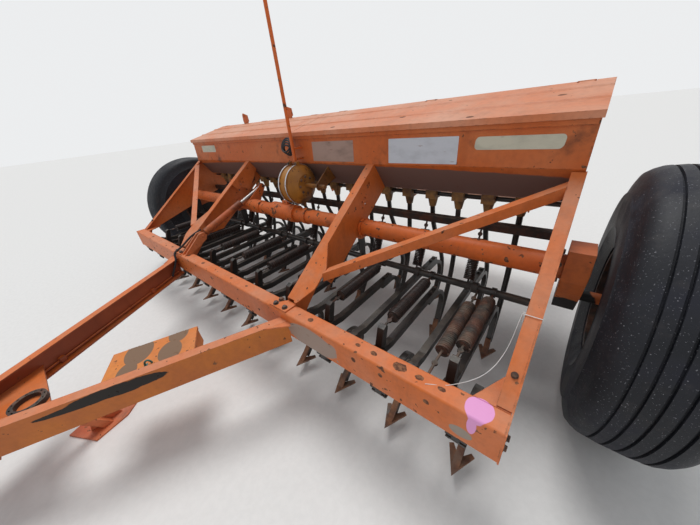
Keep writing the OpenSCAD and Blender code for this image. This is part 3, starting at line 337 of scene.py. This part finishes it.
def on_arm(side, along, up=0.0, out=0.0):
    """A place on a drawbar arm: along from the beam, up from its top edge, out from its outer face."""
    across = ARM_FLANGE + out
    x = ARM_INNER - along * math.sin(ARM_YAW) + across * math.cos(ARM_YAW)
    y = BEAM_REAR - along * math.cos(ARM_YAW) - across * math.sin(ARM_YAW)
    return Vector((side * x, y, ARM_TOP - ARM_DROP * along / ARM_RUN + up))


def on_wall(x, z):
    """A place on the hopper's front wall."""
    lean = WALL_LEAN * (z - WALL_BASE) / (WALL_TOP - WALL_BASE)
    return Vector((x, WALL_FRONT + lean, z))


def on_flange(y):
    """Height of the side frame's sloping flange at a place along the machine."""
    return BEAM_TOP + (y - BEAM_REAR) * FRAME_SLOPE


def row_x(row):
    """The place of a sown row across the machine."""
    return (row - (ROWS - 1) / 2) * ROW_PITCH


# Rust spots on the beam's top and front face, as x and size
TOP_SPOTS = ((1.52, 0.030), (1.39, 0.016), (1.30, 0.014), (1.61, 0.018), (0.98, 0.020), (1.70, 0.014),
             (-0.30, 0.018), (-0.58, 0.020), (-0.95, 0.014), (0.35, 0.012), (0.15, 0.012), (-1.50, 0.016))
FACE_SPOTS = ((1.15, 0.012), (1.30, 0.014), (1.45, 0.012), (0.92, 0.010), (-0.10, 0.014), (1.66, 0.012))


def beam_spots():
    """Rust spots along the front beam."""
    middle = (BEAM_FRONT + BEAM_REAR) / 2
    top = [((x, middle, BEAM_TOP), (size, size * 0.7, 0.02)) for x, size in TOP_SPOTS]
    face = [((x, BEAM_FRONT, BEAM_MIDDLE + 0.03), (size, 0.02, size)) for x, size in FACE_SPOTS]
    return top + face


def beam_stains():
    """Pink marking paint with its run, a bare oval and a rubbed patch on the front beam."""
    pink = ((1.834, BEAM_REAR - 0.045, BEAM_TOP - 0.004), (0.048, 0.050, 0.050), 0.0, PINK, 0.25)
    run = ((1.826, BEAM_FRONT, BEAM_TOP - 0.045), (0.016, 0.02, 0.045), 0.0, PINK, 0.3)
    oval = ((1.794, BEAM_FRONT, BEAM_TOP - 0.114), (0.042, 0.02, 0.027), 0.0, OVAL_TAN, 0.15)
    rubbed = ((1.00, BEAM_FRONT, BEAM_MIDDLE - 0.012), (0.17, 0.03, 0.070), 0.0, RUBBED_TAN, 2.2)
    return [rubbed, oval, pink, run]


def arm_stains():
    """The long bare streak along the upper edge of the right arm's outer face."""
    thick = (on_arm(1, 0.91, -0.034), (0.022, 0.21, 0.034), ARM_YAW, STREAK, 0.5)
    thin = (on_arm(1, 1.06, -0.044), (0.022, 0.19, 0.018), ARM_YAW, STREAK, 0.5)
    return [thick, thin]


def hopper_dust_and_shade():
    """Dust and painted shade over the sloping sheet under the hopper's front wall, a band that looks down and
    away from the light.
    """
    centre = (0.0, WALL_FRONT + 0.10, WALL_BASE - 0.125)
    return [(centre, (2.6, 0.35, 0.120), 0.0, DUSTY_SHADE_BROWN, 0.10)]


def crank_stains():
    """Grease over the lower ends of both cranks."""
    crank_x = 1.99
    centres = [(side * crank_x, WHEEL_Y, TYRE_RADIUS - 0.03) for side in (1, -1)]
    return [(centre, (0.12, 0.26, 0.095), 0.0, GREASE, 0.4) for centre in centres]


def box_stains():
    """Large brown patches where the toolbox has lost its paint."""
    low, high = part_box("toolbox_lid")
    middle = (low + high) / 2
    places = ((0.06, 0.07, 0.050), (-0.10, -0.04, 0.060), (0.01, -0.13, 0.040), (-0.05, 0.16, 0.045))
    return [((middle.x + x, middle.y + y, high.z), (size, size * 0.7, 0.09), 0.4, BOX_BROWN, 3.5)
            for x, y, size in places]


def lid_spots():
    """Rust spots on the lids, as x and the share of the lid's depth."""
    low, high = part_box("lid_right")
    front = low.y
    rear = high.y
    places = ((0.42, 0.12), (0.95, 0.30), (1.40, 0.08), (1.75, 0.55), (1.15, 0.85))
    return [((x, front + share * (rear - front), WALL_TOP + 0.02), (0.02, 0.012, 0.1)) for x, share in places]


MATERIALS = {
    "beam": worn_paint("beam_paint", ORANGE, SALMON, wear=0.9, dust=0.18, spots=beam_spots(),
                       stains=beam_stains()),
    # The left drawbar's brown-red sides are painted shade, and its orange top is painted light
    "drawbar_left": worn_paint("drawbar_paint", PAINTED_SHADE_RED, PAINTED_SHADE_RED_FADED, wear=0.8, dust=0.15, top=ORANGE),
    # The right drawbar's salmon top is sun-faded paint and painted light from above
    "drawbar_right": worn_paint("drawbar_streaked_paint", ARM_YELLOW, ARM_BROWN, wear=0.8, dust=0.2,
                                top=SALMON, stains=arm_stains()),
    "frame": worn_paint("frame_paint", ORANGE, SALMON, wear=0.75, dust=0.25),
    # The hopper's salmon top is sun-faded paint and painted light; the band under its front wall is dust and
    # painted shade
    "hopper": worn_paint("hopper_paint", HOPPER_ORANGE, HOPPER_FADED, wear=0.7, dust=0.2, dark=0.25,
                         top=SALMON, stains=hopper_dust_and_shade()),
    "lid": worn_paint("lid_paint", SALMON, PALE_SALMON, wear=0.35, dust=0.15, spots=lid_spots()),
    "greasy": worn_paint("greasy_paint", ORANGE_DEEP, ORANGE, wear=0.9, dust=0.1, dark=0.75),
    "crank": worn_paint("crank_paint", CRANK_ORANGE, ORANGE, wear=0.8, dust=0.1, dark=0.25,
                        stains=crank_stains()),
    "shaft": worn_paint("rockshaft_paint", SHAFT_ORANGE, SHAFT_FADED, wear=1.45, dust=0.1, dark=0.15),
    "toolbox": worn_paint("toolbox_paint", BOX_YELLOW, BOX_ORANGE, wear=1.2, dust=0.1, stains=box_stains()),
    "stand": worn_paint("stand_paint", STAND_RED, SALMON, wear=0.8, dust=0.2, dark=0.3),
    "oily_iron": rusty_iron("oily_iron", IRON, IRON_BROWN, oil=0.9, dust=0.12),
    "rusty_iron": rusty_iron("rusty_iron", RUST, RUST_LIGHT, oil=0.2, dust=0.2),
    "worn_iron": rusty_iron("worn_iron", IRON, RUST, oil=0.4, dust=0.2),
    "cups": rusty_iron("cast_cups", OCHRE, CAST_BROWN, oil=0.35, dust=0.3),
    "drum": worn_paint("drum_paint", DRUM_OCHRE, DRUM_BROWN, wear=1.3, dust=0.15, dark=0.5),
    "rubber": old_rubber("tyre_rubber"),
    "hose": plain_dirty("black_hose", HOSE_BLACK, 0.55, 0.3),
    "spring": plain_dirty("spring_wire", SPRING_BROWN, 0.42, 0.30),
    "rod": bright_metal("ram_rod_steel", STEEL, 0.3),
    "band": bright_metal("pale_band", ALUMINIUM, 0.45),
    "bolt": rusty_iron("bolt_iron", BOLT_BROWN, RUST_LIGHT, oil=0.3, dust=0.1),
    "plate_grey": scuffed_plate("grey_plate", PLATE_GREY),
    "plate_faded": scuffed_plate("faded_plate", PLATE_FADED, 0.6),
    "plate_cream": scuffed_plate("cream_plate", PLATE_CREAM, 0.45),
    "padlock": plain_dirty("padlock_body", PADLOCK_GREEN, 0.45, 0.35),
    "string": plain_dirty("white_string", STRING_WHITE, 0.8, 0.15),
}

# Which material each node of the frame wears
WEARS = {
    "beam": ("front_beam", "beam_gussets"),
    "drawbar_left": ("drawbar_left", "drawbar_cross_plate", "hitch", "oil_pipe"),
    "drawbar_right": ("drawbar_right",),
    "frame": ("side_frame_left", "side_frame_right", "support_left", "support_right", "brace_left",
              "brace_right", "ram_bracket", "footboard_brackets"),
    "hopper": ("hopper_body", "hopper_end_left", "hopper_end_right"),
    "lid": ("lid_left", "lid_right", "rear_lid_left", "rear_lid_right"),
    "greasy": ("ram_barrel",),
    "crank": ("crank_left", "crank_right"),
    "shaft": ("rockshaft", "ridge_fittings", "marker_pole"),
    "toolbox": ("toolbox", "toolbox_lid"),
    "stand": ("stand",),
    "oily_iron": ("sowing_arms", "sowing_shanks", "front_tines", "tine_brackets", "spring_bar", "seed_tubes",
                  "meter_shafts"),
    "worn_iron": ("rear_toolbar", "slotted_ring", "spring_hooks", "lever_pin", "tine_springs", "rim_left",
                  "rim_right"),
    "rusty_iron": ("front_sweeps", "sowing_points", "footboard"),
    "cups": ("seed_cups", "fertiliser_cups"),
    "drum": ("drive_drum",),
    "rubber": ("tyre_left", "tyre_right"),
    "hose": ("cable_bundle",),
    "rod": ("ram_rod",),
}


def dress_frame():
    """Gives each node of the frame its material."""
    for material, nodes in WEARS.items():
        for node in nodes:
            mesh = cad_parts[node].data
            mesh.materials.clear()
            mesh.materials.append(MATERIALS[material])


class Build:
    """Gathers the faces of one piece and makes its object."""

    def __init__(self):
        self.points = []
        self.faces = []

    def add(self, points, faces):
        start = len(self.points)
        self.points += [Vector(p) for p in points]
        self.faces += [[start + k for k in face] for face in faces]

    def revolve(self, profile, place, along, steps=24):
        """Turns a profile of (radius, distance) pairs about a line through a place."""
        turn = Vector((0, 0, 1)).rotation_difference(Vector(along).normalized())
        closed = profile[0] == profile[-1]
        ring = profile[:-1] if closed else profile
        count = len(ring)
        points = []
        for k in range(steps):
            angle = 2 * math.pi * k / steps
            for radius, distance in ring:
                local = Vector((radius * math.cos(angle), radius * math.sin(angle), distance))
                points.append(Vector(place) + turn @ local)
        spans = range(count if closed else count - 1)
        faces = [(k * count + j, (k + 1) % steps * count + j, (k + 1) % steps * count + (j + 1) % count,
                  k * count + (j + 1) % count) for k in range(steps) for j in spans]
        if not closed:
            faces.append([k * count for k in reversed(range(steps))])
            faces.append([k * count + count - 1 for k in range(steps)])
        self.add(points, faces)

    def tube(self, path, radius, sides=8):
        """A round tube along a path, closed at both ends."""
        path = [Vector(p) for p in path]
        ahead = (path[1] - path[0]).normalized()
        across = ahead.orthogonal().normalized()
        points = []
        for k, centre in enumerate(path):
            before = path[max(k - 1, 0)]
            after = path[min(k + 1, len(path) - 1)]
            heading = (after - before).normalized()
            across = ahead.rotation_difference(heading) @ across
            ahead = heading
            other = heading.cross(across)
            for j in range(sides):
                angle = 2 * math.pi * j / sides
                points.append(centre + radius * (math.cos(angle) * across + math.sin(angle) * other))
        faces = [(k * sides + j, k * sides + (j + 1) % sides, (k + 1) * sides + (j + 1) % sides,
                  (k + 1) * sides + j) for k in range(len(path) - 1) for j in range(sides)]
        faces.append(list(reversed(range(sides))))
        faces.append([(len(path) - 1) * sides + j for j in range(sides)])
        self.add(points, faces)

    def slab(self, outline, thickness, up):
        """A flat plate: an outline of points in space, thickened along a direction."""
        lift = Vector(up).normalized() * thickness
        count = len(outline)
        points = [Vector(p) for p in outline] + [Vector(p) + lift for p in outline]
        faces = [list(reversed(range(count))), [count + k for k in range(count)]]
        faces += [(k, (k + 1) % count, count + (k + 1) % count, count + k) for k in range(count)]
        self.add(points, faces)

    def bolt(self, place, along, across=0.019, depth=0.008):
        """A hexagon head on a washer, seated on a face that looks along a direction."""
        half = across / 2 / math.cos(math.pi / 6)
        washer = [(half * 1.28, -0.001), (half * 1.28, 0.002)]
        chamfer = (half * 0.84, 0.002 + depth)
        head = [(half * 0.98, 0.001), (half, 0.002), (half, 0.002 + depth * 0.8), chamfer]
        self.revolve(washer, place, along, 16)
        self.revolve(head, place, along, 6)

    def object(self, name, material, body, smooth_below=35.0):
        """Makes the gathered faces one object that rides on a body, smooth below an angle in degrees."""
        mesh = bpy.data.meshes.new(name)
        mesh.from_pydata([tuple(p) for p in self.points], [], self.faces)
        mesh.validate()
        mesh.polygons.foreach_set("use_smooth", [True] * len(mesh.polygons))
        mesh.set_sharp_from_angle(angle=math.radians(smooth_below))
        mesh.materials.append(MATERIALS[material])
        piece = bpy.data.objects.new(name, mesh)
        bpy.context.scene.collection.objects.link(piece)
        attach(piece, body)
        return piece


def curve(points, steps=8):
    """A smooth path through points, as a Catmull-Rom curve."""
    points = [Vector(p) for p in points]
    padded = [2 * points[0] - points[1], *points, 2 * points[-1] - points[-2]]
    path = []
    for a, b, c, d in zip(padded, padded[1:], padded[2:], padded[3:]):
        for k in range(steps):
            t = k / steps
            path.append(0.5 * (2 * b + (c - a) * t + (2 * a - 5 * b + 4 * c - d) * t * t
                               + (3 * b - a - 3 * c + d) * t ** 3))
    return path + [points[-1]]


def tyre_profile():
    """Half section of the ribbed tyre, from the bead to the middle of the tread, as (radius, distance)."""
    seat = 0.255
    half = TYRE_WIDTH / 2
    wall = [(seat + 0.0003, 0.128), (seat + 0.0185, 0.136), (seat + 0.0185, 0.151), (seat + 0.050, 0.166),
            (seat + 0.090, half - 0.004), (seat + 0.096, half - 0.001), (seat + 0.104, half - 0.003),
            (seat + 0.160, half), (seat + 0.210, half - 0.001), (TYRE_RADIUS - 0.120, half - 0.004),
            (TYRE_RADIUS - 0.112, half - 0.012), (TYRE_RADIUS - 0.056, half - 0.026)]
    crown = [(TYRE_RADIUS - 0.034, half - 0.034), (TYRE_RADIUS - 0.018, half - 0.054),
             (TYRE_RADIUS - 0.007, half - 0.078)]
    tread = []
    groove = 0.011
    for k, middle in enumerate((0.084, 0.042, 0.0)):
        drop = 0.004 if k == 0 else 0.0
        top = TYRE_RADIUS - drop
        side = [(top, middle + 0.0050), (top - groove, middle + 0.0035)]
        tread += side
        if middle:
            tread += [(top - groove, middle - 0.0035), (top, middle - 0.0050)]
    return wall + crown + tread


def dress_wheels():
    """The ribbed tyres, which replace the plain ones, and each wheel's nuts and hub cap."""
    nut_count = 8
    nut_circle = 0.105
    half = tyre_profile()
    inside = [(0.520, 0.060), (0.495, 0.120), (0.415, 0.165), (0.345, 0.159), (0.254, 0.095)]
    outer = half + [(r, -d) for r, d in reversed(half)]
    inner = [(r, -d) for r, d in reversed(inside)] + [(0.530, 0.0)] + inside
    section = outer + inner + [outer[0]]
    for side, name in ((1, "right"), (-1, "left")):
        body = "wheel_" + name
        hub = Vector((side * WHEEL_X, WHEEL_Y, TYRE_RADIUS))
        build = Build()
        build.revolve(section, hub, (1, 0, 0), 128)
        tyre = build.object("ribbed_tyre_" + name, "rubber", body)
        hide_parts("tyre_" + name)
        nuts = Build()
        for k in range(nut_count):
            angle = 2 * math.pi * k / nut_count
            round_hub = Vector((side * 0.029, nut_circle * math.cos(angle), nut_circle * math.sin(angle)))
            nuts.bolt(hub + round_hub, (side, 0, 0), 0.028, 0.018)
        cap = [(0.001, 0.020), (0.030, 0.018), (0.040, 0.008), (0.042, -0.004), (0.0275, -0.004)]
        nuts.revolve(cap, hub + Vector((side * 0.068, 0, 0)), (side, 0, 0), 32)
        nuts.object("wheel_nuts_" + name, "bolt", body)


def spring_ends():
    """Both hook points of every tine spring and its number of turns, as the part's source places them."""
    springs = []
    for row in range(1, ROWS, 2):
        springs.append((row_x(row), (PIVOT_Y + 0.0683, 0.604), (SPRING_BAR_Y - 0.0303, 0.600), 35))
    beside_last = row_x(ROWS - 1) - 0.074
    springs.append((beside_last, (BEAM_REAR + 0.0089, 0.560), (SPRING_BAR_Y - 0.0233, 0.600), 32))
    for row in range(0, ROWS, 2):
        springs.append((row_x(row), (SPRING_BAR_Y + 0.118, 0.496), (BEAM_REAR + 0.9585, 0.839), 24))
    return springs


def coil_springs():
    """Close-wound springs of round wire: oily ones, and rusty ones at the right end of the machine."""
    turn_steps = 12
    rusty_from = 1.5
    wire = 0.0052
    pitch = 0.010835
    radius = 0.035 - 0.0055
    builds = {"spring": Build(), "worn_iron": Build()}
    for x, low, high, turns in spring_ends():
        start = Vector((x, *low))
        axis = Vector((x, *high)) - start
        middle = start + axis / 2
        along = axis.normalized()
        other = along.cross(Vector((1, 0, 0)))
        path = []
        for k in range(turns * turn_steps + 1):
            angle = 2 * math.pi * k / turn_steps
            shift = (k / turn_steps - turns / 2) * pitch
            turned = math.cos(angle) * Vector((1, 0, 0)) + math.sin(angle) * other
            path.append(middle + along * shift + radius * turned)
        builds["worn_iron" if x > rusty_from else "spring"].tube(path, wire, 6)
    oily = builds["spring"].object("coil_springs_oily", "spring", "frame", 60.0)
    builds["worn_iron"].object("coil_springs_rusty", "worn_iron", "frame", 60.0)
    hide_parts("tine_springs")


def wall_plate(name, material, left, right, low, high, corner, lean=0.0):
    """A blank plate with round corners on the hopper's front wall, its heights measured from the beam."""
    thickness = 0.0015
    low += BEAM_TOP
    high += BEAM_TOP
    outline = []
    corners = ((right - corner, high - corner, 0), (left + corner, high - corner, 90),
               (left + corner, low + corner, 180), (right - corner, low + corner, 270))
    for centre_x, centre_z, start in corners:
        for k in range(6):
            angle = math.radians(start + k * 18)
            x = centre_x + corner * math.cos(angle)
            z = centre_z + corner * math.sin(angle)
            outline.append(on_wall(x + lean * (z - low), z))
    build = Build()
    build.slab(outline, thickness, Vector((0, -1, 0.05)))
    build.object(name, material, "frame")


def hopper_plates():
    """The blank plates on the hopper, from the right end to the left."""
    wall_plate("plate_cream", "plate_cream", 1.443, 1.822, 0.708, 0.770, 0.020, lean=0.1)
    wall_plate("plate_grey", "plate_grey", 0.920, 1.360, 0.634, 0.777, 0.004)
    wall_plate("plate_faded", "plate_faded", 0.215, 0.630, 0.637, 0.778, 0.004)
    wall_plate("plate_small", "plate_cream", -1.717, -1.390, 0.713, 0.783, 0.008)


def frame_bolts():
    """Bolt heads on the frame: beam, side flanges, rockshaft bearings and beam ends."""
    bearing_circle = 0.076
    bolts = Build()
    for side in (-1, 1):
        for x, y in ((0.700, -0.060), (0.700, -0.020), (0.780, -0.060)):
            bolts.bolt((side * x, BEAM_REAR + y, BEAM_TOP + 0.008), (0, 0, 1), 0.024, 0.012)
        y = BEAM_REAR + 0.10
        on_side = (side * (HALF_WIDTH - 0.024), y, on_flange(y) + 0.0005)
        bolts.bolt(on_side, (0, -FRAME_SLOPE, 1), 0.017, 0.007)
        for k in range(6):
            angle = math.radians(30 + 60 * k)
            y = ROCK_Y + bearing_circle * math.cos(angle)
            z = ROCK_Z + bearing_circle * math.sin(angle)
            bolts.bolt((side * FRAME_FACE, y, z), (side, 0, 0), 0.017, 0.007)
        for z in (0.47, 0.53):
            bolts.bolt((side * FRAME_FACE, BEAM_REAR - 0.045, z), (side, 0, 0), 0.019, 0.008)
    bolts.object("frame_bolts", "bolt", "frame")


def row_bolts():
    """Nuts on the arm pivots and the bolts that clamp each shank to its arm."""
    short_arm = 0.670
    long_arm = 1.060
    nuts = Build()
    for row in range(ROWS):
        x = row_x(row)
        for side in (-1, 1):
            nuts.bolt((x + side * 0.0300, PIVOT_Y, PIVOT_Z), (side, 0, 0), 0.022, 0.011)
        end = PIVOT_Y + (short_arm if row % 2 else long_arm)
        for back in (0.030, 0.085):
            nuts.bolt((x, end - back, PIVOT_Z), (0, 0, 1), 0.020, 0.010)
    nuts.object("row_bolts", "oily_iron", "frame")


def drum_trim():
    """Pale clamp bands on the drive drum, with the bolts of the bands and of its end."""
    inside = DRUM_RADIUS + 0.0004
    outside = DRUM_RADIUS + 0.0026
    section = [(inside, 0.001), (outside, 0.001), (outside, 0.013), (inside, 0.013), (inside, 0.001)]
    bands = Build()
    for x in (0.030, 0.116):
        bands.revolve(section, (x, DRUM_Y, DRUM_Z), (1, 0, 0), 64)
    bands.object("drum_bands", "band", "frame")
    end_face = 0.1920
    end_circle = 0.066
    bolts = Build()
    end_bolts = 8
    for k in range(end_bolts):
        angle = 2 * math.pi * k / end_bolts
        spot = (end_face, DRUM_Y + end_circle * math.cos(angle), DRUM_Z + end_circle * math.sin(angle))
        bolts.bolt(spot, (1, 0, 0), 0.015, 0.007)
    for x in (0.034, 0.120):
        for side in (-1, 1):
            bolts.bolt((x - 0.003, DRUM_Y - 0.013, DRUM_Z + side * 0.166), (0, -1, 0), 0.016, 0.012)
    bolts.object("drum_bolts", "bolt", "frame")


def oil_line():
    """The oil line from the ram's foot over the beam to the pipe in the left arm."""
    pipe_end = on_arm(-1, 0.20, -ARM_DEPTH + PIPE_HEIGHT, -0.020)
    ram_foot = Vector((-0.655, BEAM_REAR + 0.150, 0.755))
    route = [ram_foot, (-0.720, BEAM_REAR + 0.070, 0.705), (-0.750, BEAM_REAR - 0.020, BEAM_TOP + 0.040),
             (-0.755, BEAM_FRONT - 0.004, BEAM_TOP + 0.004), (-0.735, BEAM_FRONT - 0.030, 0.540), pipe_end]
    build = Build()
    build.tube(curve(route), 0.009, 10)
    build.object("oil_line", "hose", "frame")


def padlock():
    """The padlock on the arm-side edge of the toolbox lid."""
    corners = ((-0.030, -0.042), (0.030, -0.042), (0.032, 0.004), (0.020, 0.014), (-0.020, 0.014),
               (-0.032, 0.004))
    arch_steps = 10
    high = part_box("toolbox_lid")[1]
    place = Vector((0.349, -0.864, high.z - 0.022))
    out = Vector((math.cos(ARM_YAW), -math.sin(ARM_YAW), 0))
    along = Vector((math.sin(ARM_YAW), math.cos(ARM_YAW), 0))
    build = Build()
    face = place + out * 0.010
    outline = [face + along * x + Vector((0, 0, z)) for x, z in corners]
    build.slab(outline, 0.022, out)
    arch = []
    for k in range(arch_steps + 1):
        angle = math.pi * k / arch_steps
        rise = Vector((0, 0, 0.011 + 0.030 * math.sin(angle)))
        arch.append(face + out * 0.011 + along * (0.017 * math.cos(angle)) + rise)
    build.tube(arch, 0.005, 8)
    build.object("padlock", "padlock", "toolbox_lid")


def pipe_clips():
    """Square clips that hold the oil pipe in the left arm."""
    along = Vector((math.sin(ARM_YAW), -math.cos(ARM_YAW), 0))
    out = Vector((-math.cos(ARM_YAW), -math.sin(ARM_YAW), 0))
    corners = ((-0.016, -0.020), (0.016, -0.020), (0.016, 0.020), (-0.016, 0.020))
    build = Build()
    for distance in (0.42, 1.12):
        middle = on_arm(-1, distance, -ARM_DEPTH + PIPE_HEIGHT, -0.034)
        outline = [middle + along * x + Vector((0, 0, z)) for x, z in corners]
        build.slab(outline, 0.024, out)
    build.object("pipe_clips", "drawbar_left", "frame")


def side_wire():
    """Two loops of wire round the right side frame's flange, and the string that hangs from them."""
    y = BEAM_REAR + 0.285
    z = on_flange(y)
    x_in = HALF_WIDTH - 0.055
    x_out = FRAME_FACE
    string_radius = 0.0014
    build = Build()
    for shift in (0.0, 0.010):
        loop = [(x_in - 0.004, y + shift, z + 0.003), (x_out + 0.003, y + shift, z + 0.003),
                (x_out + 0.003, y + shift, z - 0.060), (x_in - 0.004, y + shift + 0.004, z - 0.030),
                (x_in - 0.004, y + shift + 0.004, z + 0.001)]
        build.tube(loop, 0.0016, 6)
    hanging = [(x_in - 0.004, y, z + 0.001), (x_in - 0.020, y - 0.10, z - 0.120),
               (x_in - 0.060, y - 0.22, BEAM_TOP + 0.045),
               (x_in - 0.150, BEAM_REAR - 0.010, BEAM_TOP + string_radius),
               (x_in - 0.230, BEAM_REAR - 0.060, BEAM_TOP + string_radius)]
    build.tube(curve(hanging), string_radius, 6)
    build.object("side_wire", "string", "frame")


def pale_floor():
    """The floor under the machine, which takes its shadow."""
    mesh = bpy.data.meshes.new("floor")
    reach = 60.0
    mesh.from_pydata([(-reach, -reach, 0), (reach, -reach, 0), (reach, reach, 0), (-reach, reach, 0)], [],
                     [(0, 1, 2, 3)])
    surface = Surface("pale_floor", specular=0.1)
    grain = surface.between(surface.noise(30.0, 3.0), 0.3, 0.7)
    tone = surface.mix(grain, FLOOR, tuple(c * 0.96 for c in FLOOR))
    mesh.materials.append(surface.finish(tone, 0.95))
    floor = bpy.data.objects.new("floor", mesh)
    bpy.context.scene.collection.objects.link(floor)


def sky():
    """Soft light from all round, which the camera sees as an even pale backdrop."""
    world = bpy.data.worlds.new("studio")
    bpy.context.scene.world = world
    world.use_nodes = True
    nodes = world.node_tree.nodes
    links = world.node_tree.links
    nodes.clear()
    rays = nodes.new("ShaderNodeLightPath")
    lit = nodes.new("ShaderNodeBackground")
    lit.inputs["Color"].default_value = (0.93, 0.96, 1.0, 1.0)
    lit.inputs["Strength"].default_value = 0.52
    shown = nodes.new("ShaderNodeBackground")
    shown.inputs["Color"].default_value = (0.84, 0.85, 0.86, 1.0)
    seen = nodes.new("ShaderNodeMath")
    seen.operation = "MAXIMUM"
    through = nodes.new("ShaderNodeMath")
    through.operation = "MAXIMUM"
    links.new(rays.outputs["Is Camera Ray"], seen.inputs[0])
    links.new(rays.outputs["Is Glossy Ray"], seen.inputs[1])
    links.new(seen.outputs[0], through.inputs[0])
    links.new(rays.outputs["Is Transmission Ray"], through.inputs[1])
    mixed = nodes.new("ShaderNodeMixShader")
    links.new(through.outputs[0], mixed.inputs[0])
    links.new(lit.outputs[0], mixed.inputs[1])
    links.new(shown.outputs[0], mixed.inputs[2])
    links.new(mixed.outputs[0], nodes.new("ShaderNodeOutputWorld").inputs["Surface"])


def soft_lamp():
    """One wide soft lamp from above, a little from behind and from the left."""
    lamp = bpy.data.lights.new("soft_lamp", "SUN")
    lamp.energy = 1.75
    lamp.angle = math.radians(28.0)
    holder = bpy.data.objects.new("soft_lamp", lamp)
    toward = Vector((0.30, -0.28, -1.0))
    holder.rotation_euler = toward.to_track_quat("-Z", "Y").to_euler()
    bpy.context.scene.collection.objects.link(holder)


def camera():
    """A wide camera at the place from which the photograph was taken."""
    place = Vector((1.922, -0.900, 1.536))
    right = Vector((0.77044, 0.62960, -0.10011))
    forward = Vector((-0.59205, 0.64838, -0.47863)).normalized()
    back = -forward
    up = back.cross(right).normalized()
    right = up.cross(back)
    eye = bpy.data.cameras.new("photo_camera")
    eye.lens = 13.887
    eye.sensor_width = 36.0
    eye.clip_start = 0.01
    holder = bpy.data.objects.new("photo_camera", eye)
    turn = Matrix((right, up, back)).transposed().to_4x4()
    holder.matrix_world = Matrix.Translation(place) @ turn
    bpy.context.scene.collection.objects.link(holder)
    bpy.context.scene.camera = holder


camera()
dress_frame()
dress_wheels()
coil_springs()
hopper_plates()
frame_bolts()
row_bolts()
drum_trim()
oil_line()
padlock()
pipe_clips()
side_wire()
pale_floor()
sky()
soft_lamp()
bpy.context.scene.view_settings.view_transform = "Standard"
